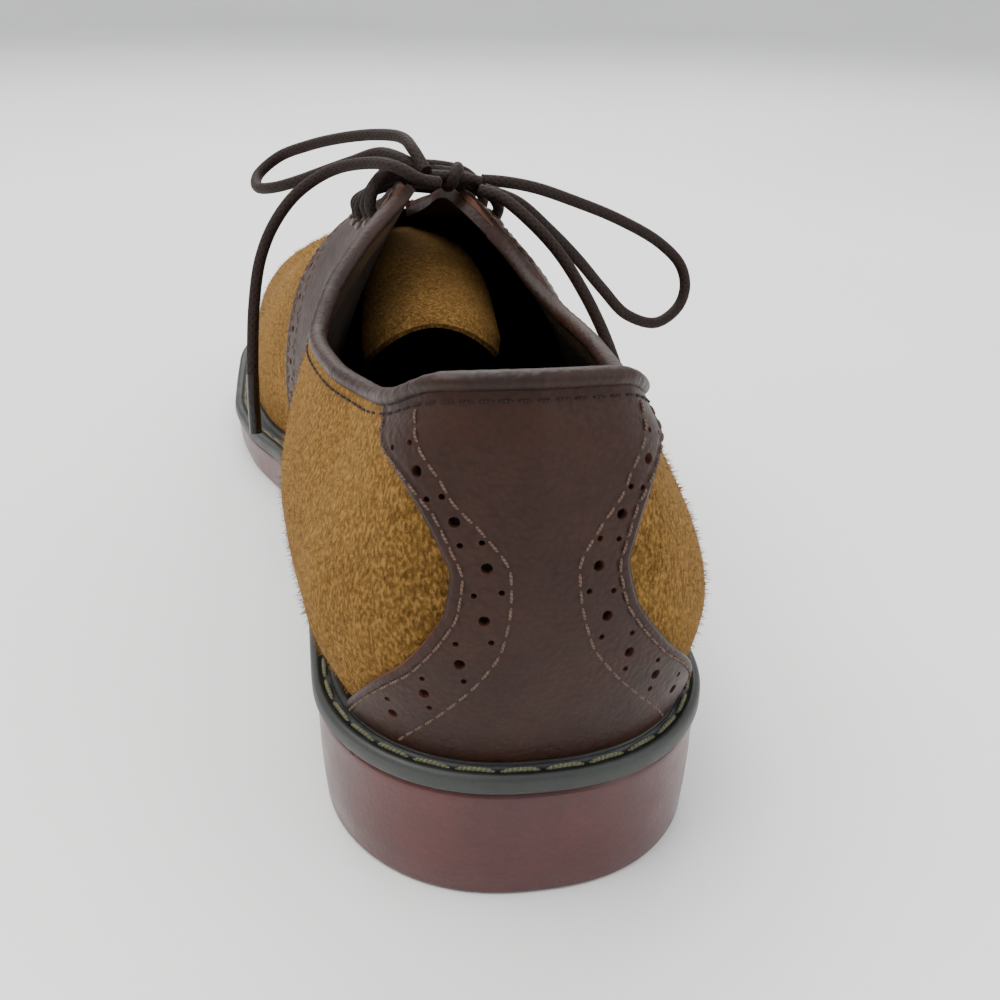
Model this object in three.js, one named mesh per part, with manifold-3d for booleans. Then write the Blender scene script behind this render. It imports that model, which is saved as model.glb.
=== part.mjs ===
// Right shoe of a pair of suede saddle shoes. Units are mm.
// Frame: +Y points from heel to toe, +X to the shoe's outer side, +Z up.
// The origin is at ground level, under the middle of the sole.
import * as THREE from 'three';
import { mergeVertices } from 'three/addons/utils/BufferGeometryUtils.js';
import Module from 'manifold-3d';

const LENGTH = 302; // sole, heel to toe
const WIDTH = 108; // sole, widest at the ball
const HEEL_HEIGHT = 22; // rubber under the heel
const SOLE_THICKNESS = 9.5; // rubber under the ball
const TOE_SPRING = 10.5; // rise of the tip of the sole
const UPPER_HEIGHT = 76; // from the welt to the top of the facings
const HEEL_ROUNDING = 38; // length over which the heel rounds
const TOE_ROUNDING = 48; // length over which the toe rounds
const TAPER = 1.9; // of the sole's side, from the welt to the ground
const WELT_THICKNESS = 4.5;
const WELT_REACH = 7.5; // beyond the upper, at the ball
const WELT_STEP = 0.7; // depth of the channel for the stitches
const EDGE_ROUNDING = 0.9; // of the welt's and the sole's edges
const WALL = 2.2; // suede, stiffener and lining together
const OVERLAY = 1.3; // heel counter and saddle leather
const GAP = 0.3; // between neighbouring curved pieces
const LIFT = 0.7; // of an overlay off the upper
const INSOLE_THICKNESS = 3;
const TONGUE_THICKNESS = 2.6;
const TONGUE_WIDTH = 32;
const BINDING_RADIUS = 1.7;
const LACE_RADIUS = 1.35;
const KNOT_RADIUS = 2.6;
const LACE_REST = 0.9; // of the crossings above the saddle
const EYELET_INSET = 9; // from the edge of each facing
const FACING_MARGIN = 0.7; // upper left bare along the facings
const BINDING_END = 0.375; // share of the length at which the binding stops
const FREE_EDGE = 0.392; // share at which the facing's edge is bare
const THROAT_END = 0.58; // share of the length at which the facings join
const BREAST = 0.258; // share of the length at which the heel ends
const TOE_CENTRE = 0.8; // where the ribs of the toe fan out from
const TOE_SOFTNESS = 0.03;
const TOE_TIP = 0.88; // in front of this all ribs end in one point
const HEEL_SQUARENESS = 2.3;
const TOE_SQUARENESS = 2.2;
const STEPS = 34; // stations on each side of the foot
const ROWS = 10; // facets from the welt to the top edge

// In each table at is a share of the length, from the heel to the toe.
// Half widths of the sole, as shares of WIDTH.
const OUTLINE = {
  at: [0, 0.12, 0.28, 0.42, 0.56, 0.65, 0.72, 0.84, 0.93, 1],
  outer: [0.325, 0.338, 0.335, 0.37, 0.465, 0.5, 0.49, 0.42, 0.33, 0.24],
  inner: [0.312, 0.33, 0.322, 0.298, 0.385, 0.47, 0.5, 0.49, 0.44, 0.39],
};

// Shares of the extra height under the heel and of the toe spring, over and under the sole.
const PROFILE = {
  at: [0, 0.28, 0.4, 0.52, 0.62, 0.72, 0.82, 0.92, 1],
  heel: [1, 0.96, 0.64, 0.24, 0.04, 0, 0, 0, 0],
  toe: [0, 0, 0, 0, 0, 0, 0.14, 0.52, 1],
};

const UNDERSIDE = {
  at: [0.262, 0.35, 0.45, 0.55, 0.6, 0.74, 0.8, 0.9, 1],
  heel: [0.88, 0.7, 0.38, 0.08, 0, 0, 0, 0, 0],
  toe: [0, 0, 0, 0, 0, 0, 0.08, 0.43, 1],
};

// Shares of WELT_REACH.
const WELT = {
  at: [0, 0.3, 0.5, 0.7, 1],
  reach: [0.73, 0.73, 0.87, 1, 1],
};

// Top edge of the upper from the back to the throat: x is a share of WIDTH,
// y of LENGTH and height of UPPER_HEIGHT above the welt.
const OUTER_EDGE = {
  at: [0, 0.03, 0.07, 0.12, 0.17, 0.24, 0.3, 0.335, 0.365, 0.385, 0.42, 0.5, 0.58],
  x: [-0.009, 0.102, 0.162, 0.19, 0.211, 0.227, 0.208, 0.171, 0.116, 0.051, 0.02, -0.007, -0.028],
  y: [-0.477, -0.469, -0.434, -0.381, -0.334, -0.265, -0.205, -0.169, -0.139, -0.123, -0.086, 0, 0.079],
  height: [0.87, 0.86, 0.785, 0.72, 0.683, 0.656, 0.67, 0.73, 0.84, 0.935, 0.974, 0.92, 0.862],
};

const INNER_EDGE = {
  at: [0, 0.03, 0.07, 0.12, 0.17, 0.24, 0.3, 0.335, 0.365, 0.385, 0.42, 0.5, 0.58],
  x: [-0.009, -0.13, -0.19, -0.222, -0.264, -0.287, -0.255, -0.194, -0.13, -0.083, -0.069, -0.061, -0.056],
  y: [-0.477, -0.467, -0.43, -0.381, -0.328, -0.258, -0.209, -0.172, -0.142, -0.119, -0.086, 0, 0.079],
  height: [0.87, 0.86, 0.78, 0.728, 0.709, 0.698, 0.77, 0.87, 0.95, 0.995, 0.993, 0.934, 0.868],
};

// Crest of the vamp and toe, in front of the throat, in the same shares.
const CREST = {
  at: [0.58, 0.64, 0.7, 0.76, 0.8],
  x: [-0.042, -0.046, -0.051, -0.057, -0.065],
  y: [0.079, 0.14, 0.2, 0.26, 0.3],
  height: [0.868, 0.807, 0.719, 0.63, 0.574],
};

// Ribs of the upper, from the welt to the top edge. rise and fall are shares of
// the rib's height, run is a share of its reach, and the bulges are shares of WIDTH.
const RIB = {
  at: [0, 0.05, 0.12, 0.2, 0.3, 0.385, 0.5, 0.58, 0.7, 0.85, 1],
  rise: [0.36, 0.36, 0.33, 0.33, 0.35, 0.42, 0.5, 0.55, 0.56, 0.58, 0.6],
  lowOuter: [0.056, 0.083, 0.125, 0.139, 0.12, 0.093, 0.074, 0.056, 0.046, 0.046, 0.037],
  lowInner: [0.056, 0.083, 0.12, 0.13, 0.093, 0.074, 0.056, 0.056, 0.046, 0.046, 0.037],
  run: [0, 0, 0, 0, 0.1, 0.3, 0.45, 0.55, 0.56, 0.6, 0.6],
  highOuter: [0.046, 0.065, 0.102, 0.116, 0.093, 0.056, 0.019, 0, 0, 0, 0],
  highInner: [0.046, 0.065, 0.093, 0.093, 0.074, 0.046, 0.019, 0, 0, 0, 0],
  fall: [0.48, 0.48, 0.48, 0.48, 0.42, 0.22, 0.06, 0, 0, 0, 0],
};

// Curved sides of the heel counter. at is a share of the rib, from the welt up,
// and spread half the counter's share of the girth.
const COUNTER = {
  at: [0, 0.08, 0.24, 0.29, 0.37, 0.43, 0.5, 0.6, 0.68, 0.75, 0.87, 0.92, 1],
  spread: [0.091, 0.08, 0.059, 0.0525, 0.046, 0.0425, 0.04, 0.041, 0.047, 0.054, 0.072, 0.081, 0.091],
};

// Back and front of the saddle, as shares of the length. at is a share of the rib.
const SADDLE = {
  at: [0, 0.2, 0.4, 0.6, 0.8, 1],
  back: [0.475, 0.462, 0.445, 0.42, 0.385, 0.345],
  front: [0.545, 0.56, 0.575, 0.588, 0.596, 0.598],
};

// Tongue from under the throat to its free end. x is a share of WIDTH, y of
// LENGTH, height of UPPER_HEIGHT, and half and depth of TONGUE_WIDTH.
const TONGUE = {
  at: [0, 0.3, 0.55, 0.8, 1],
  x: [-0.037, -0.031, -0.031, -0.039, -0.051],
  y: [0.089, 0, -0.066, -0.132, -0.185],
  height: [0.794, 0.808, 0.796, 0.715, 0.636],
  half: [0.41, 0.45, 0.47, 0.5, 0.515],
  depth: [0.11, 0.2, 0.3, 0.39, 0.44],
};

// Rows of eyelets, as shares of the length.
const EYELETS = [0.404, 0.441, 0.478, 0.515, 0.552];

// Middle lines of the bow, from the knot outwards, as they lie in space.
const BOW = {
  lace_knot: [[8.2, -32.2, 98.2], [5, -32, 99], [1, -31.8, 99.5], [-3, -32, 99.8]],
  lace_loop_outer: [
    [8.8, -30.8, 98.4], [14, -30.1, 97.8], [21.5, -28, 96], [31, -25, 92.4], [43.5, -22, 87],
    [54.7, -20, 80.6], [60.5, -20, 74.9], [61.8, -21, 69.6], [60, -22, 64.8], [54.1, -24, 61.6],
    [45.8, -26, 64.5], [38.5, -29, 72], [31, -33, 80.5], [23.5, -35.5, 88], [16, -35.8, 94.4],
    [8.8, -33.8, 97],
  ],
  lace_loop_inner: [
    [-4.2, -30.8, 100.1], [-8, -28.5, 102.4], [-13, -22, 103.2], [-19.2, -15, 100.2], [-26, -11, 97.2],
    [-32, -8, 94.6], [-37.5, -3, 92.3], [-41.5, 5, 91], [-41, 13, 92.8], [-36, 14, 96.6],
    [-29, 9, 100], [-21, 0, 103.2], [-13, -11, 105.6], [-8, -22, 106.4], [-6.4, -29, 104.9],
    [-4.2, -33.6, 101.2],
  ],
  lace_end_outer: [
    [7.5, -35.9, 97.3], [12, -38.6, 95.9], [18, -42.3, 91.2], [23.8, -44.5, 85], [29, -47.5, 77],
    [33.4, -51, 68], [36.8, -55, 58], [39, -58.5, 48], [40, -61, 39],
  ],
  lace_end_inner: [
    [-1.8, -36.1, 99], [-6, -38.6, 100.2], [-11, -36.5, 102.6], [-17, -28, 102], [-25, -20, 98.8],
    [-32.5, -18, 93.5], [-38, -20, 87], [-41.5, -22, 79.5], [-43.5, -25, 70], [-44.5, -28, 60],
    [-45, -31, 50], [-45, -33, 41],
  ],
};

const SUEDE = new THREE.MeshStandardMaterial({ name: 'suede', color: 0xa67c3f, roughness: 0.95 });
const LEATHER = new THREE.MeshStandardMaterial({ name: 'leather', color: 0x523c37, roughness: 0.55 });
const RUBBER = new THREE.MeshStandardMaterial({ name: 'rubber', color: 0x6a403c, roughness: 0.5 });
const EDGE = new THREE.MeshStandardMaterial({ name: 'welt', color: 0x3a3b38, roughness: 0.6 });
const LINING = new THREE.MeshStandardMaterial({ name: 'lining', color: 0x8a6a3c, roughness: 0.8 });
const CORD = new THREE.MeshStandardMaterial({ name: 'lace', color: 0x3a2a26, roughness: 0.8 });

/** Eases from 0 to 1 while u goes from one share to the other. */
const ease = (u, from, to) => THREE.MathUtils.smoothstep(u, from, to);

/** Monotone cubic through one column of a table. */
function read(table, column, at) {
  const x = table.at;
  const y = table[column];
  const last = x.length - 1;
  const u = Math.min(Math.max(at, x[0]), x[last]);
  const chord = (i) => (y[i + 1] - y[i]) / (x[i + 1] - x[i]);
  const slope = (i) => {
    if (i === 0) return chord(0);
    if (i === last) return chord(last - 1);
    const before = chord(i - 1);
    const after = chord(i);
    if (before * after <= 0) return 0;
    const w1 = 2 * (x[i + 1] - x[i]) + (x[i] - x[i - 1]);
    const w2 = x[i + 1] - x[i] + 2 * (x[i] - x[i - 1]);
    return (w1 + w2) / (w1 / before + w2 / after);
  };
  let i = 0;
  while (i < last - 1 && u >= x[i + 1]) i += 1;
  const h = x[i + 1] - x[i];
  const t = (u - x[i]) / h;
  return (1 + 2 * t) * (1 - t) ** 2 * y[i] + t * (1 - t) ** 2 * h * slope(i)
    + t * t * (3 - 2 * t) * y[i + 1] + t * t * (t - 1) * h * slope(i + 1);
}

/** Share of the length at a place on the girth: 0 at the heel, 0.5 at the toe, 1 back at the heel. */
function place(girth) {
  const g = ((girth % 1) + 1) % 1;
  const outer = g <= 0.5;
  const b = outer ? 2 * g : 2 - 2 * g;
  return { outer, u: (1 - Math.cos(Math.PI * b)) / 2 };
}

/** Place on the girth for a share of the length. */
function girthAt(u, outer) {
  const g = Math.acos(1 - 2 * u) / (2 * Math.PI);
  return outer ? g : 1 - g;
}

function outline(girth) {
  const { outer, u } = place(girth);
  const a = read(OUTLINE, 'outer', u);
  const b = read(OUTLINE, 'inner', u);
  const heel = Math.max(1 - (u * LENGTH) / HEEL_ROUNDING, 0) ** HEEL_SQUARENESS;
  const toe = Math.max(1 - ((1 - u) * LENGTH) / TOE_ROUNDING, 0) ** TOE_SQUARENESS;
  const end = Math.max(1 - heel, 0) ** (1 / HEEL_SQUARENESS) * Math.max(1 - toe, 0) ** (1 / TOE_SQUARENESS);
  const x = WIDTH * ((a - b) / 2 + (outer ? 1 : -1) * ((a + b) / 2) * end);
  return new THREE.Vector3(x, LENGTH * (u - 0.5), 0);
}

/** Outward direction of the outline in plan. */
function outward(girth) {
  const d = outline(girth + 1e-4).sub(outline(girth - 1e-4));
  return new THREE.Vector3(d.y, -d.x, 0).normalize();
}

function inset(girth, distance, z) {
  const p = outline(girth).addScaledVector(outward(girth), -distance);
  p.z = z;
  return p;
}

/** Height that the heel and the toe spring add. */
function rise(table, u) {
  return (HEEL_HEIGHT - SOLE_THICKNESS) * read(table, 'heel', u) + TOE_SPRING * read(table, 'toe', u);
}

const soleTop = (u) => SOLE_THICKNESS + rise(PROFILE, u);
const reach = (u) => WELT_REACH * read(WELT, 'reach', u);
const seat = (u) => soleTop(u) + GAP + WELT_THICKNESS;
const feather = (girth) => inset(girth, reach(place(girth).u), seat(place(girth).u));

/** Point given by a table whose x, y and height are shares, at u of the length. */
function placed(table, at, u) {
  return new THREE.Vector3(
    WIDTH * read(table, 'x', at),
    LENGTH * read(table, 'y', at),
    seat(u) + UPPER_HEIGHT * read(table, 'height', at),
  );
}

/** Crest point, held behind the centre of the toe so that the ribs fan out around it. */
function crest(u) {
  const before = TOE_CENTRE - Math.min(u, 0.9);
  const held = TOE_CENTRE - TOE_SOFTNESS * Math.log1p(Math.exp(before / TOE_SOFTNESS));
  const at = u > TOE_TIP ? TOE_CENTRE - TOE_SOFTNESS / 20 : held;
  return placed(CREST, at, at);
}

function topEdge(girth) {
  const { outer, u } = place(girth);
  if (u > THROAT_END + 1e-6) return crest(u);
  return placed(outer ? OUTER_EDGE : INNER_EDGE, u, u);
}

/** The four control points of a rib. */
function rib(girth) {
  const { outer, u } = place(girth);
  const p0 = feather(girth);
  const p3 = topEdge(girth);
  const out = outward(girth);
  const across = new THREE.Vector3(p0.x - p3.x, p0.y - p3.y, 0);
  const width = across.length();
  const s = ease(u, 0.3, 0.5);
  const away = out.clone().multiplyScalar(1 - s).addScaledVector(across.normalize(), s).normalize();
  const height = p3.z - p0.z;
  const low = WIDTH * read(RIB, outer ? 'lowOuter' : 'lowInner', u);
  const high = read(RIB, 'run', u) * width + WIDTH * read(RIB, outer ? 'highOuter' : 'highInner', u);
  const p1 = p0.clone().addScaledVector(out, low);
  p1.z += read(RIB, 'rise', u) * height;
  const p2 = p3.clone().addScaledVector(away, high);
  p2.z -= read(RIB, 'fall', u) * height;
  return [p0, p1, p2, p3];
}

/** Point of the upper's outer face at a girth and a height from 0 (welt) to 1 (top edge). */
function face(girth, t) {
  const [p0, p1, p2, p3] = rib(girth);
  const s = 1 - t;
  return p0.multiplyScalar(s ** 3).addScaledVector(p1, 3 * t * s * s)
    .addScaledVector(p2, 3 * t * t * s).addScaledVector(p3, t ** 3);
}

/** Height at a distance in mm below the top edge. */
function below(girth, distance) {
  const [, , p2, p3] = rib(girth);
  return 1 - distance / (3 * p3.distanceTo(p2));
}

function sideNormal(girth, t) {
  const e = 4e-4;
  const lo = Math.max(t - e, 0);
  const hi = Math.min(t + e, 1);
  const along = face(girth + e, (lo + hi) / 2).sub(face(girth - e, (lo + hi) / 2));
  return along.cross(face(girth, hi).sub(face(girth, lo))).normalize();
}

/** Outward normal; on the crest both sides share one. */
function normal(girth, t) {
  const { u } = place(girth);
  if (u <= THROAT_END + 1e-6 || t < 0.999) return sideNormal(girth, t);
  if (u > TOE_TIP) return new THREE.Vector3(0, 0.12, 0.99).normalize();
  const e = 0.004;
  const along = crest(Math.min(u + e, TOE_TIP)).sub(crest(u - e));
  const n = sideNormal(girthAt(u, true), 0.99).add(sideNormal(girthAt(u, false), 0.99));
  return n.addScaledVector(along, -n.dot(along) / along.lengthSq()).normalize();
}

function lifted(girth, t, lift) {
  const p = face(girth, t).addScaledVector(normal(girth, t), lift);
  p.z = Math.max(p.z, seat(place(girth).u));
  return p;
}

/** Collects triangles, merging corners that coincide. */
class Shell {
  constructor() {
    this.points = [];
    this.keys = new Map();
    this.triangles = [];
  }

  corner(p) {
    const key = [p.x, p.y, p.z].map((c) => Math.round(c * 2000)).join();
    if (!this.keys.has(key)) {
      this.keys.set(key, this.points.length);
      this.points.push(p.clone());
    }
    return this.keys.get(key);
  }

  triangle(a, b, c) {
    const [i, j, k] = [this.corner(a), this.corner(b), this.corner(c)];
    if (i !== j && j !== k && k !== i) this.triangles.push([i, j, k]);
  }

  quad(a, b, c, d) {
    this.triangle(a, b, c);
    this.triangle(a, c, d);
  }

  /** A net of quads; rows[i][j] face out when i runs right and j up. */
  net(rows, closed = false, flip = false) {
    const count = closed ? rows.length : rows.length - 1;
    for (let i = 0; i < count; i += 1) {
      const a = rows[i];
      const b = rows[(i + 1) % rows.length];
      for (let j = 0; j + 1 < a.length; j += 1) {
        if (flip) this.quad(a[j], a[j + 1], b[j + 1], b[j]);
        else this.quad(a[j], b[j], b[j + 1], a[j + 1]);
      }
    }
  }

  mesh(name, material) {
    const geometry = new THREE.BufferGeometry();
    const positions = this.points.flatMap((p) => [p.x, p.y, p.z]);
    geometry.setAttribute('position', new THREE.Float32BufferAttribute(positions, 3));
    geometry.setIndex(this.triangles.flat());
    geometry.computeVertexNormals();
    return named(new THREE.Mesh(geometry, material), name);
  }
}

function named(mesh, name) {
  mesh.name = name;
  return mesh;
}

/** Shares of the length at which the form is cut: the places that must be met
 * exactly, the regular steps and, where fine, half steps around the heel. */
function stations(exact, fine = false) {
  const list = [];
  for (let i = 0; i <= STEPS; i += 1) list.push((1 - Math.cos((Math.PI * i) / STEPS)) / 2);
  for (let i = 0.5; fine && i < 6; i += 1) list.push((1 - Math.cos((Math.PI * i) / STEPS)) / 2);
  const kept = list.filter((u) => exact.every((e) => e < 0.01 || Math.abs(e - u) > 0.0055));
  return kept.concat(exact).sort((a, b) => a - b);
}

/** Girths around the whole foot for a list of stations. */
function around(list) {
  const outer = list.map((u) => girthAt(u, true));
  const inner = list.slice(1, -1).reverse().map((u) => girthAt(u, false));
  return outer.concat(inner);
}

/** A slab with a shaped side: rings run from its underside to its top, bridged straight across. */
function slab(name, material, list, ringsAt) {
  const shell = new Shell();
  const girths = around(list);
  const rings = girths.map((g) => ringsAt(g, place(g).u));
  shell.net(rings, true);
  const last = list.length - 1;
  for (let i = 0; i < last; i += 1) {
    const right = [rings[i], rings[i + 1]];
    const left = [rings[(girths.length - i) % girths.length], rings[girths.length - i - 1]];
    const top = rings[0].length - 1;
    shell.quad(right[0][top], right[1][top], left[1][top], left[0][top]);
    shell.quad(left[0][0], left[1][0], right[1][0], right[0][0]);
  }
  return shell.mesh(name, material);
}

function makeOutsole() {
  const list = stations([BREAST, 0.264, 0.6, 0.74]);
  return slab('outsole', RUBBER, list, (g, u) => {
    const top = soleTop(u);
    const bottom = u <= BREAST + 1e-6 ? 0 : rise(UNDERSIDE, u);
    return [
      inset(g, TAPER + 1.4 * EDGE_ROUNDING, bottom),
      inset(g, TAPER, bottom + EDGE_ROUNDING),
      inset(g, 0.6 * TAPER, bottom * 0.45 + top * 0.55),
      inset(g, 0.5 * TAPER, top - EDGE_ROUNDING),
      inset(g, 0.5 * TAPER + 0.7 * EDGE_ROUNDING, top),
    ];
  });
}

function makeWelt() {
  const list = stations([0.65, 0.72]);
  return slab('welt', EDGE, list, (g, u) => {
    const z = soleTop(u) + GAP;
    const channel = WELT_THICKNESS - WELT_STEP;
    return [
      inset(g, EDGE_ROUNDING, z),
      inset(g, 0, z + 0.25 * WELT_THICKNESS),
      inset(g, 0, z + 0.6 * WELT_THICKNESS),
      inset(g, EDGE_ROUNDING, z + channel),
      inset(g, reach(u) - 2.5 * GAP - 1.5 * WELT_STEP, z + channel),
      inset(g, reach(u) - 5 * GAP, z + WELT_THICKNESS - GAP),
    ];
  });
}

function makeInsole() {
  const list = stations([]);
  return slab('insole', LINING, list, (g, u) => {
    const d = reach(u) + WALL + 3 * GAP;
    return [inset(g, d, seat(u)), inset(g, d - GAP, seat(u) + INSOLE_THICKNESS)];
  });
}

/** Distance from the top edge kept free for the collar's binding. */
function bindingRoom(u) {
  return (2 * BINDING_RADIUS + GAP) * (1 - ease(u, BINDING_END, FREE_EDGE));
}

function makeUpper() {
  const shell = new Shell();
  const list = stations([BINDING_END, FREE_EDGE, THROAT_END, THROAT_END + 0.009], true);
  const girths = around(list);
  const columns = girths.map((g) => {
    const top = below(g, bindingRoom(place(g).u));
    const outer = [];
    const inner = [];
    for (let j = 0; j <= ROWS; j += 1) {
      const t = top * (j / ROWS);
      outer.push(face(g, t));
      const p = lifted(g, t, -WALL);
      if (j === 0) p.z = outer[0].z;
      inner.push(p);
    }
    return { outer, inner, open: place(g).u <= THROAT_END + 1e-6 };
  });
  shell.net(columns.map((c) => c.outer), true);
  shell.net(columns.map((c) => c.inner), true, true);
  shell.net(columns.map((c) => [c.inner[0], c.outer[0]]), true);
  columns.forEach((c, i) => {
    const next = columns[(i + 1) % columns.length];
    if (c.open || next.open) shell.quad(c.outer[ROWS], next.outer[ROWS], next.inner[ROWS], c.inner[ROWS]);
  });
  return shell.mesh('upper', SUEDE);
}

/** A thin closed piece between two offsets of one net of [girth, t] places. */
function skin(name, material, places, lift) {
  const shell = new Shell();
  const outer = places.map((row) => row.map(([g, t]) => lifted(g, t, lift + OVERLAY)));
  const inner = places.map((row) => row.map(([g, t]) => lifted(g, t, lift)));
  shell.net(outer);
  shell.net(inner, false, true);
  const n = outer.length - 1;
  const m = outer[0].length - 1;
  for (let i = 0; i < n; i += 1) {
    shell.quad(inner[i][0], inner[i + 1][0], outer[i + 1][0], outer[i][0]);
    shell.quad(outer[i][m], outer[i + 1][m], inner[i + 1][m], inner[i][m]);
  }
  for (let j = 0; j < m; j += 1) {
    shell.quad(inner[0][j], outer[0][j], outer[0][j + 1], inner[0][j + 1]);
    shell.quad(outer[n][j], inner[n][j], inner[n][j + 1], outer[n][j + 1]);
  }
  return shell.mesh(name, material);
}

function makeCounter() {
  const columns = 28;
  const rows = 12;
  const places = [];
  for (let i = 0; i <= columns; i += 1) {
    const row = [];
    for (let j = 0; j <= rows; j += 1) {
      const v = j / rows;
      const g = (2 * (i / columns) - 1) * read(COUNTER, 'spread', v);
      row.push([g, v * below(g, bindingRoom(place(g).u))]);
    }
    places.push(row);
  }
  return skin('heel_counter', LEATHER, places, LIFT);
}

function makeSaddle(name, outer) {
  const columns = 10;
  const rows = 11;
  const places = [];
  for (let i = 0; i <= columns; i += 1) {
    const row = [];
    for (let j = 0; j <= rows; j += 1) {
      const v = j / rows;
      const back = girthAt(read(SADDLE, 'back', v), true);
      const front = girthAt(read(SADDLE, 'front', v), true);
      const g = back + (front - back) * (i / columns);
      const u = place(g).u;
      const girth = outer ? g : 1 - g;
      const margin = FACING_MARGIN * (1 + 2 * ease(u, THROAT_END - 0.01, THROAT_END + 0.01));
      row.push([girth, v * below(girth, Math.max(bindingRoom(u), margin))]);
    }
    places.push(row);
  }
  return skin(name, LEATHER, outer ? places : places.reverse(), LIFT);
}

/** A rounded bead along the collar from one facing to the other. */
function makeBinding() {
  const shell = new Shell();
  const sides = 8;
  const end = BINDING_END - 0.002;
  const list = stations([end], true).filter((u) => u <= end);
  const girths = list.slice(1).reverse().map((u) => -girthAt(u, true)).concat(list.map((u) => girthAt(u, true)));
  const rings = girths.map((g) => {
    const edge = topEdge(g);
    const out = sideNormal(g, 1);
    const up = edge.clone().sub(face(g, 0.97)).normalize();
    const centre = edge.addScaledVector(up, -BINDING_RADIUS).addScaledVector(out, -WALL / 2);
    const ring = [];
    for (let k = 0; k < sides; k += 1) {
      const angle = (2 * Math.PI * (k + 0.5)) / sides;
      const p = centre.clone().addScaledVector(out, BINDING_RADIUS * Math.cos(angle));
      ring.push(p.addScaledVector(up, BINDING_RADIUS * Math.sin(angle)));
    }
    return ring.concat([ring[0]]);
  });
  shell.net(rings);
  const fan = (ring, flip) => {
    for (let k = 1; k + 1 < sides; k += 1) {
      if (flip) shell.triangle(ring[0], ring[k + 1], ring[k]);
      else shell.triangle(ring[0], ring[k], ring[k + 1]);
    }
  };
  fan(rings[0], false);
  fan(rings[rings.length - 1], true);
  return shell.mesh('collar_binding', LEATHER);
}

function makeTongue() {
  const along = 12;
  const across = 12;
  const spread = (75 * Math.PI) / 180;
  const at = (s, v, drop) => {
    const angle = v * spread;
    const p = placed(TONGUE, s, read(TONGUE, 'y', s) + 0.5);
    p.x += ((TONGUE_WIDTH * read(TONGUE, 'half', s) - drop) * Math.sin(angle)) / Math.sin(spread);
    p.z -= (TONGUE_WIDTH * read(TONGUE, 'depth', s) * (1 - Math.cos(angle))) / (1 - Math.cos(spread)) + drop;
    return p;
  };
  const shell = new Shell();
  const net = (drop) => {
    const rows = [];
    for (let i = 0; i <= across; i += 1) {
      const v = (2 * i) / across - 1;
      const row = [];
      for (let j = 0; j <= along; j += 1) {
        const s = (j / along) * (1 - 0.12 * Math.abs(v) ** 3);
        row.push(at(s, v, drop));
      }
      rows.push(row);
    }
    return rows;
  };
  const outer = net(0);
  const inner = net(TONGUE_THICKNESS);
  shell.net(outer, false, true);
  shell.net(inner);
  for (let i = 0; i < across; i += 1) {
    shell.quad(inner[i][0], outer[i][0], outer[i + 1][0], inner[i + 1][0]);
    shell.quad(outer[i][along], inner[i][along], inner[i + 1][along], outer[i + 1][along]);
  }
  for (let j = 0; j < along; j += 1) {
    shell.quad(outer[0][j], inner[0][j], inner[0][j + 1], outer[0][j + 1]);
    shell.quad(inner[across][j], outer[across][j], outer[across][j + 1], inner[across][j + 1]);
  }
  return shell.mesh('tongue', SUEDE);
}

/** A round tube along a smooth line through points. */
function tube(points, sides, steps, radius) {
  const section = new THREE.Shape();
  section.absarc(0, 0, radius, 0, 2 * Math.PI);
  return new THREE.ExtrudeGeometry(section, {
    steps,
    curveSegments: sides / 2,
    bevelEnabled: false,
    extrudePath: new THREE.CatmullRomCurve3(points),
  });
}

/** A free length of the lace. */
function cord(name, points) {
  const knot = name === 'lace_knot';
  const steps = knot ? 4 : Math.round(points.length * 1.35);
  const path = points.map((p) => new THREE.Vector3(...p));
  return named(new THREE.Mesh(tube(path, 8, steps, knot ? KNOT_RADIUS : LACE_RADIUS), CORD), name);
}

/** A closed geometry as a solid that can be joined. */
function solid(geometry) {
  const bare = geometry.clone();
  bare.deleteAttribute('normal');
  bare.deleteAttribute('uv');
  const merged = mergeVertices(bare, 1e-3);
  return new wasm.Manifold(new wasm.Mesh({
    numProp: 3,
    vertProperties: merged.attributes.position.array,
    triVerts: new Uint32Array(merged.index.array),
  }));
}

/** The crossings over the facings, joined at each pair of eyelets. */
function makeCrossings() {
  const above = (u, outer, fromEdge, extra) => {
    const g = girthAt(u, outer);
    return lifted(g, below(g, fromEdge), LIFT + OVERLAY + LACE_REST + GAP + LACE_RADIUS + extra);
  };
  const eyelet = (u, outer) => above(u, outer, EYELET_INSET, 0);
  const edge = (u, outer) => above(u, outer, LACE_REST, GAP);
  const strand = (points) => solid(tube(points, 6, 3, LACE_RADIUS));
  const first = EYELETS[EYELETS.length - 1];
  let lace = strand([eyelet(first, true), edge(first, true), edge(first, false), eyelet(first, false)]);
  for (let i = EYELETS.length - 1; i > 0; i -= 1) {
    const [front, back] = [EYELETS[i], EYELETS[i - 1]];
    const middle = (front + back) / 2;
    const near = (front - back) / 6;
    for (const side of [true, false]) {
      lace = lace.add(strand([
        eyelet(front, side),
        edge(middle + near, side),
        edge(middle - near, !side),
        eyelet(back, !side),
      ]));
    }
  }
  const mesh = lace.getMesh();
  const geometry = new THREE.BufferGeometry();
  geometry.setAttribute('position', new THREE.Float32BufferAttribute(Array.from(mesh.vertProperties), 3));
  geometry.setIndex(Array.from(mesh.triVerts));
  geometry.computeVertexNormals();
  return named(new THREE.Mesh(geometry, CORD), 'lace_crossings');
}

const wasm = await Module();
wasm.setup();

const shoe = new THREE.Group();
shoe.name = 'saddle_shoe';
shoe.add(makeOutsole());
shoe.add(makeWelt());
shoe.add(makeInsole());
shoe.add(makeUpper());
shoe.add(makeTongue());
shoe.add(makeCounter());
shoe.add(makeSaddle('saddle_outer', true));
shoe.add(makeSaddle('saddle_inner', false));
shoe.add(makeBinding());
shoe.add(makeCrossings());
for (const [name, points] of Object.entries(BOW)) shoe.add(cord(name, points));

export default shoe;
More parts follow.
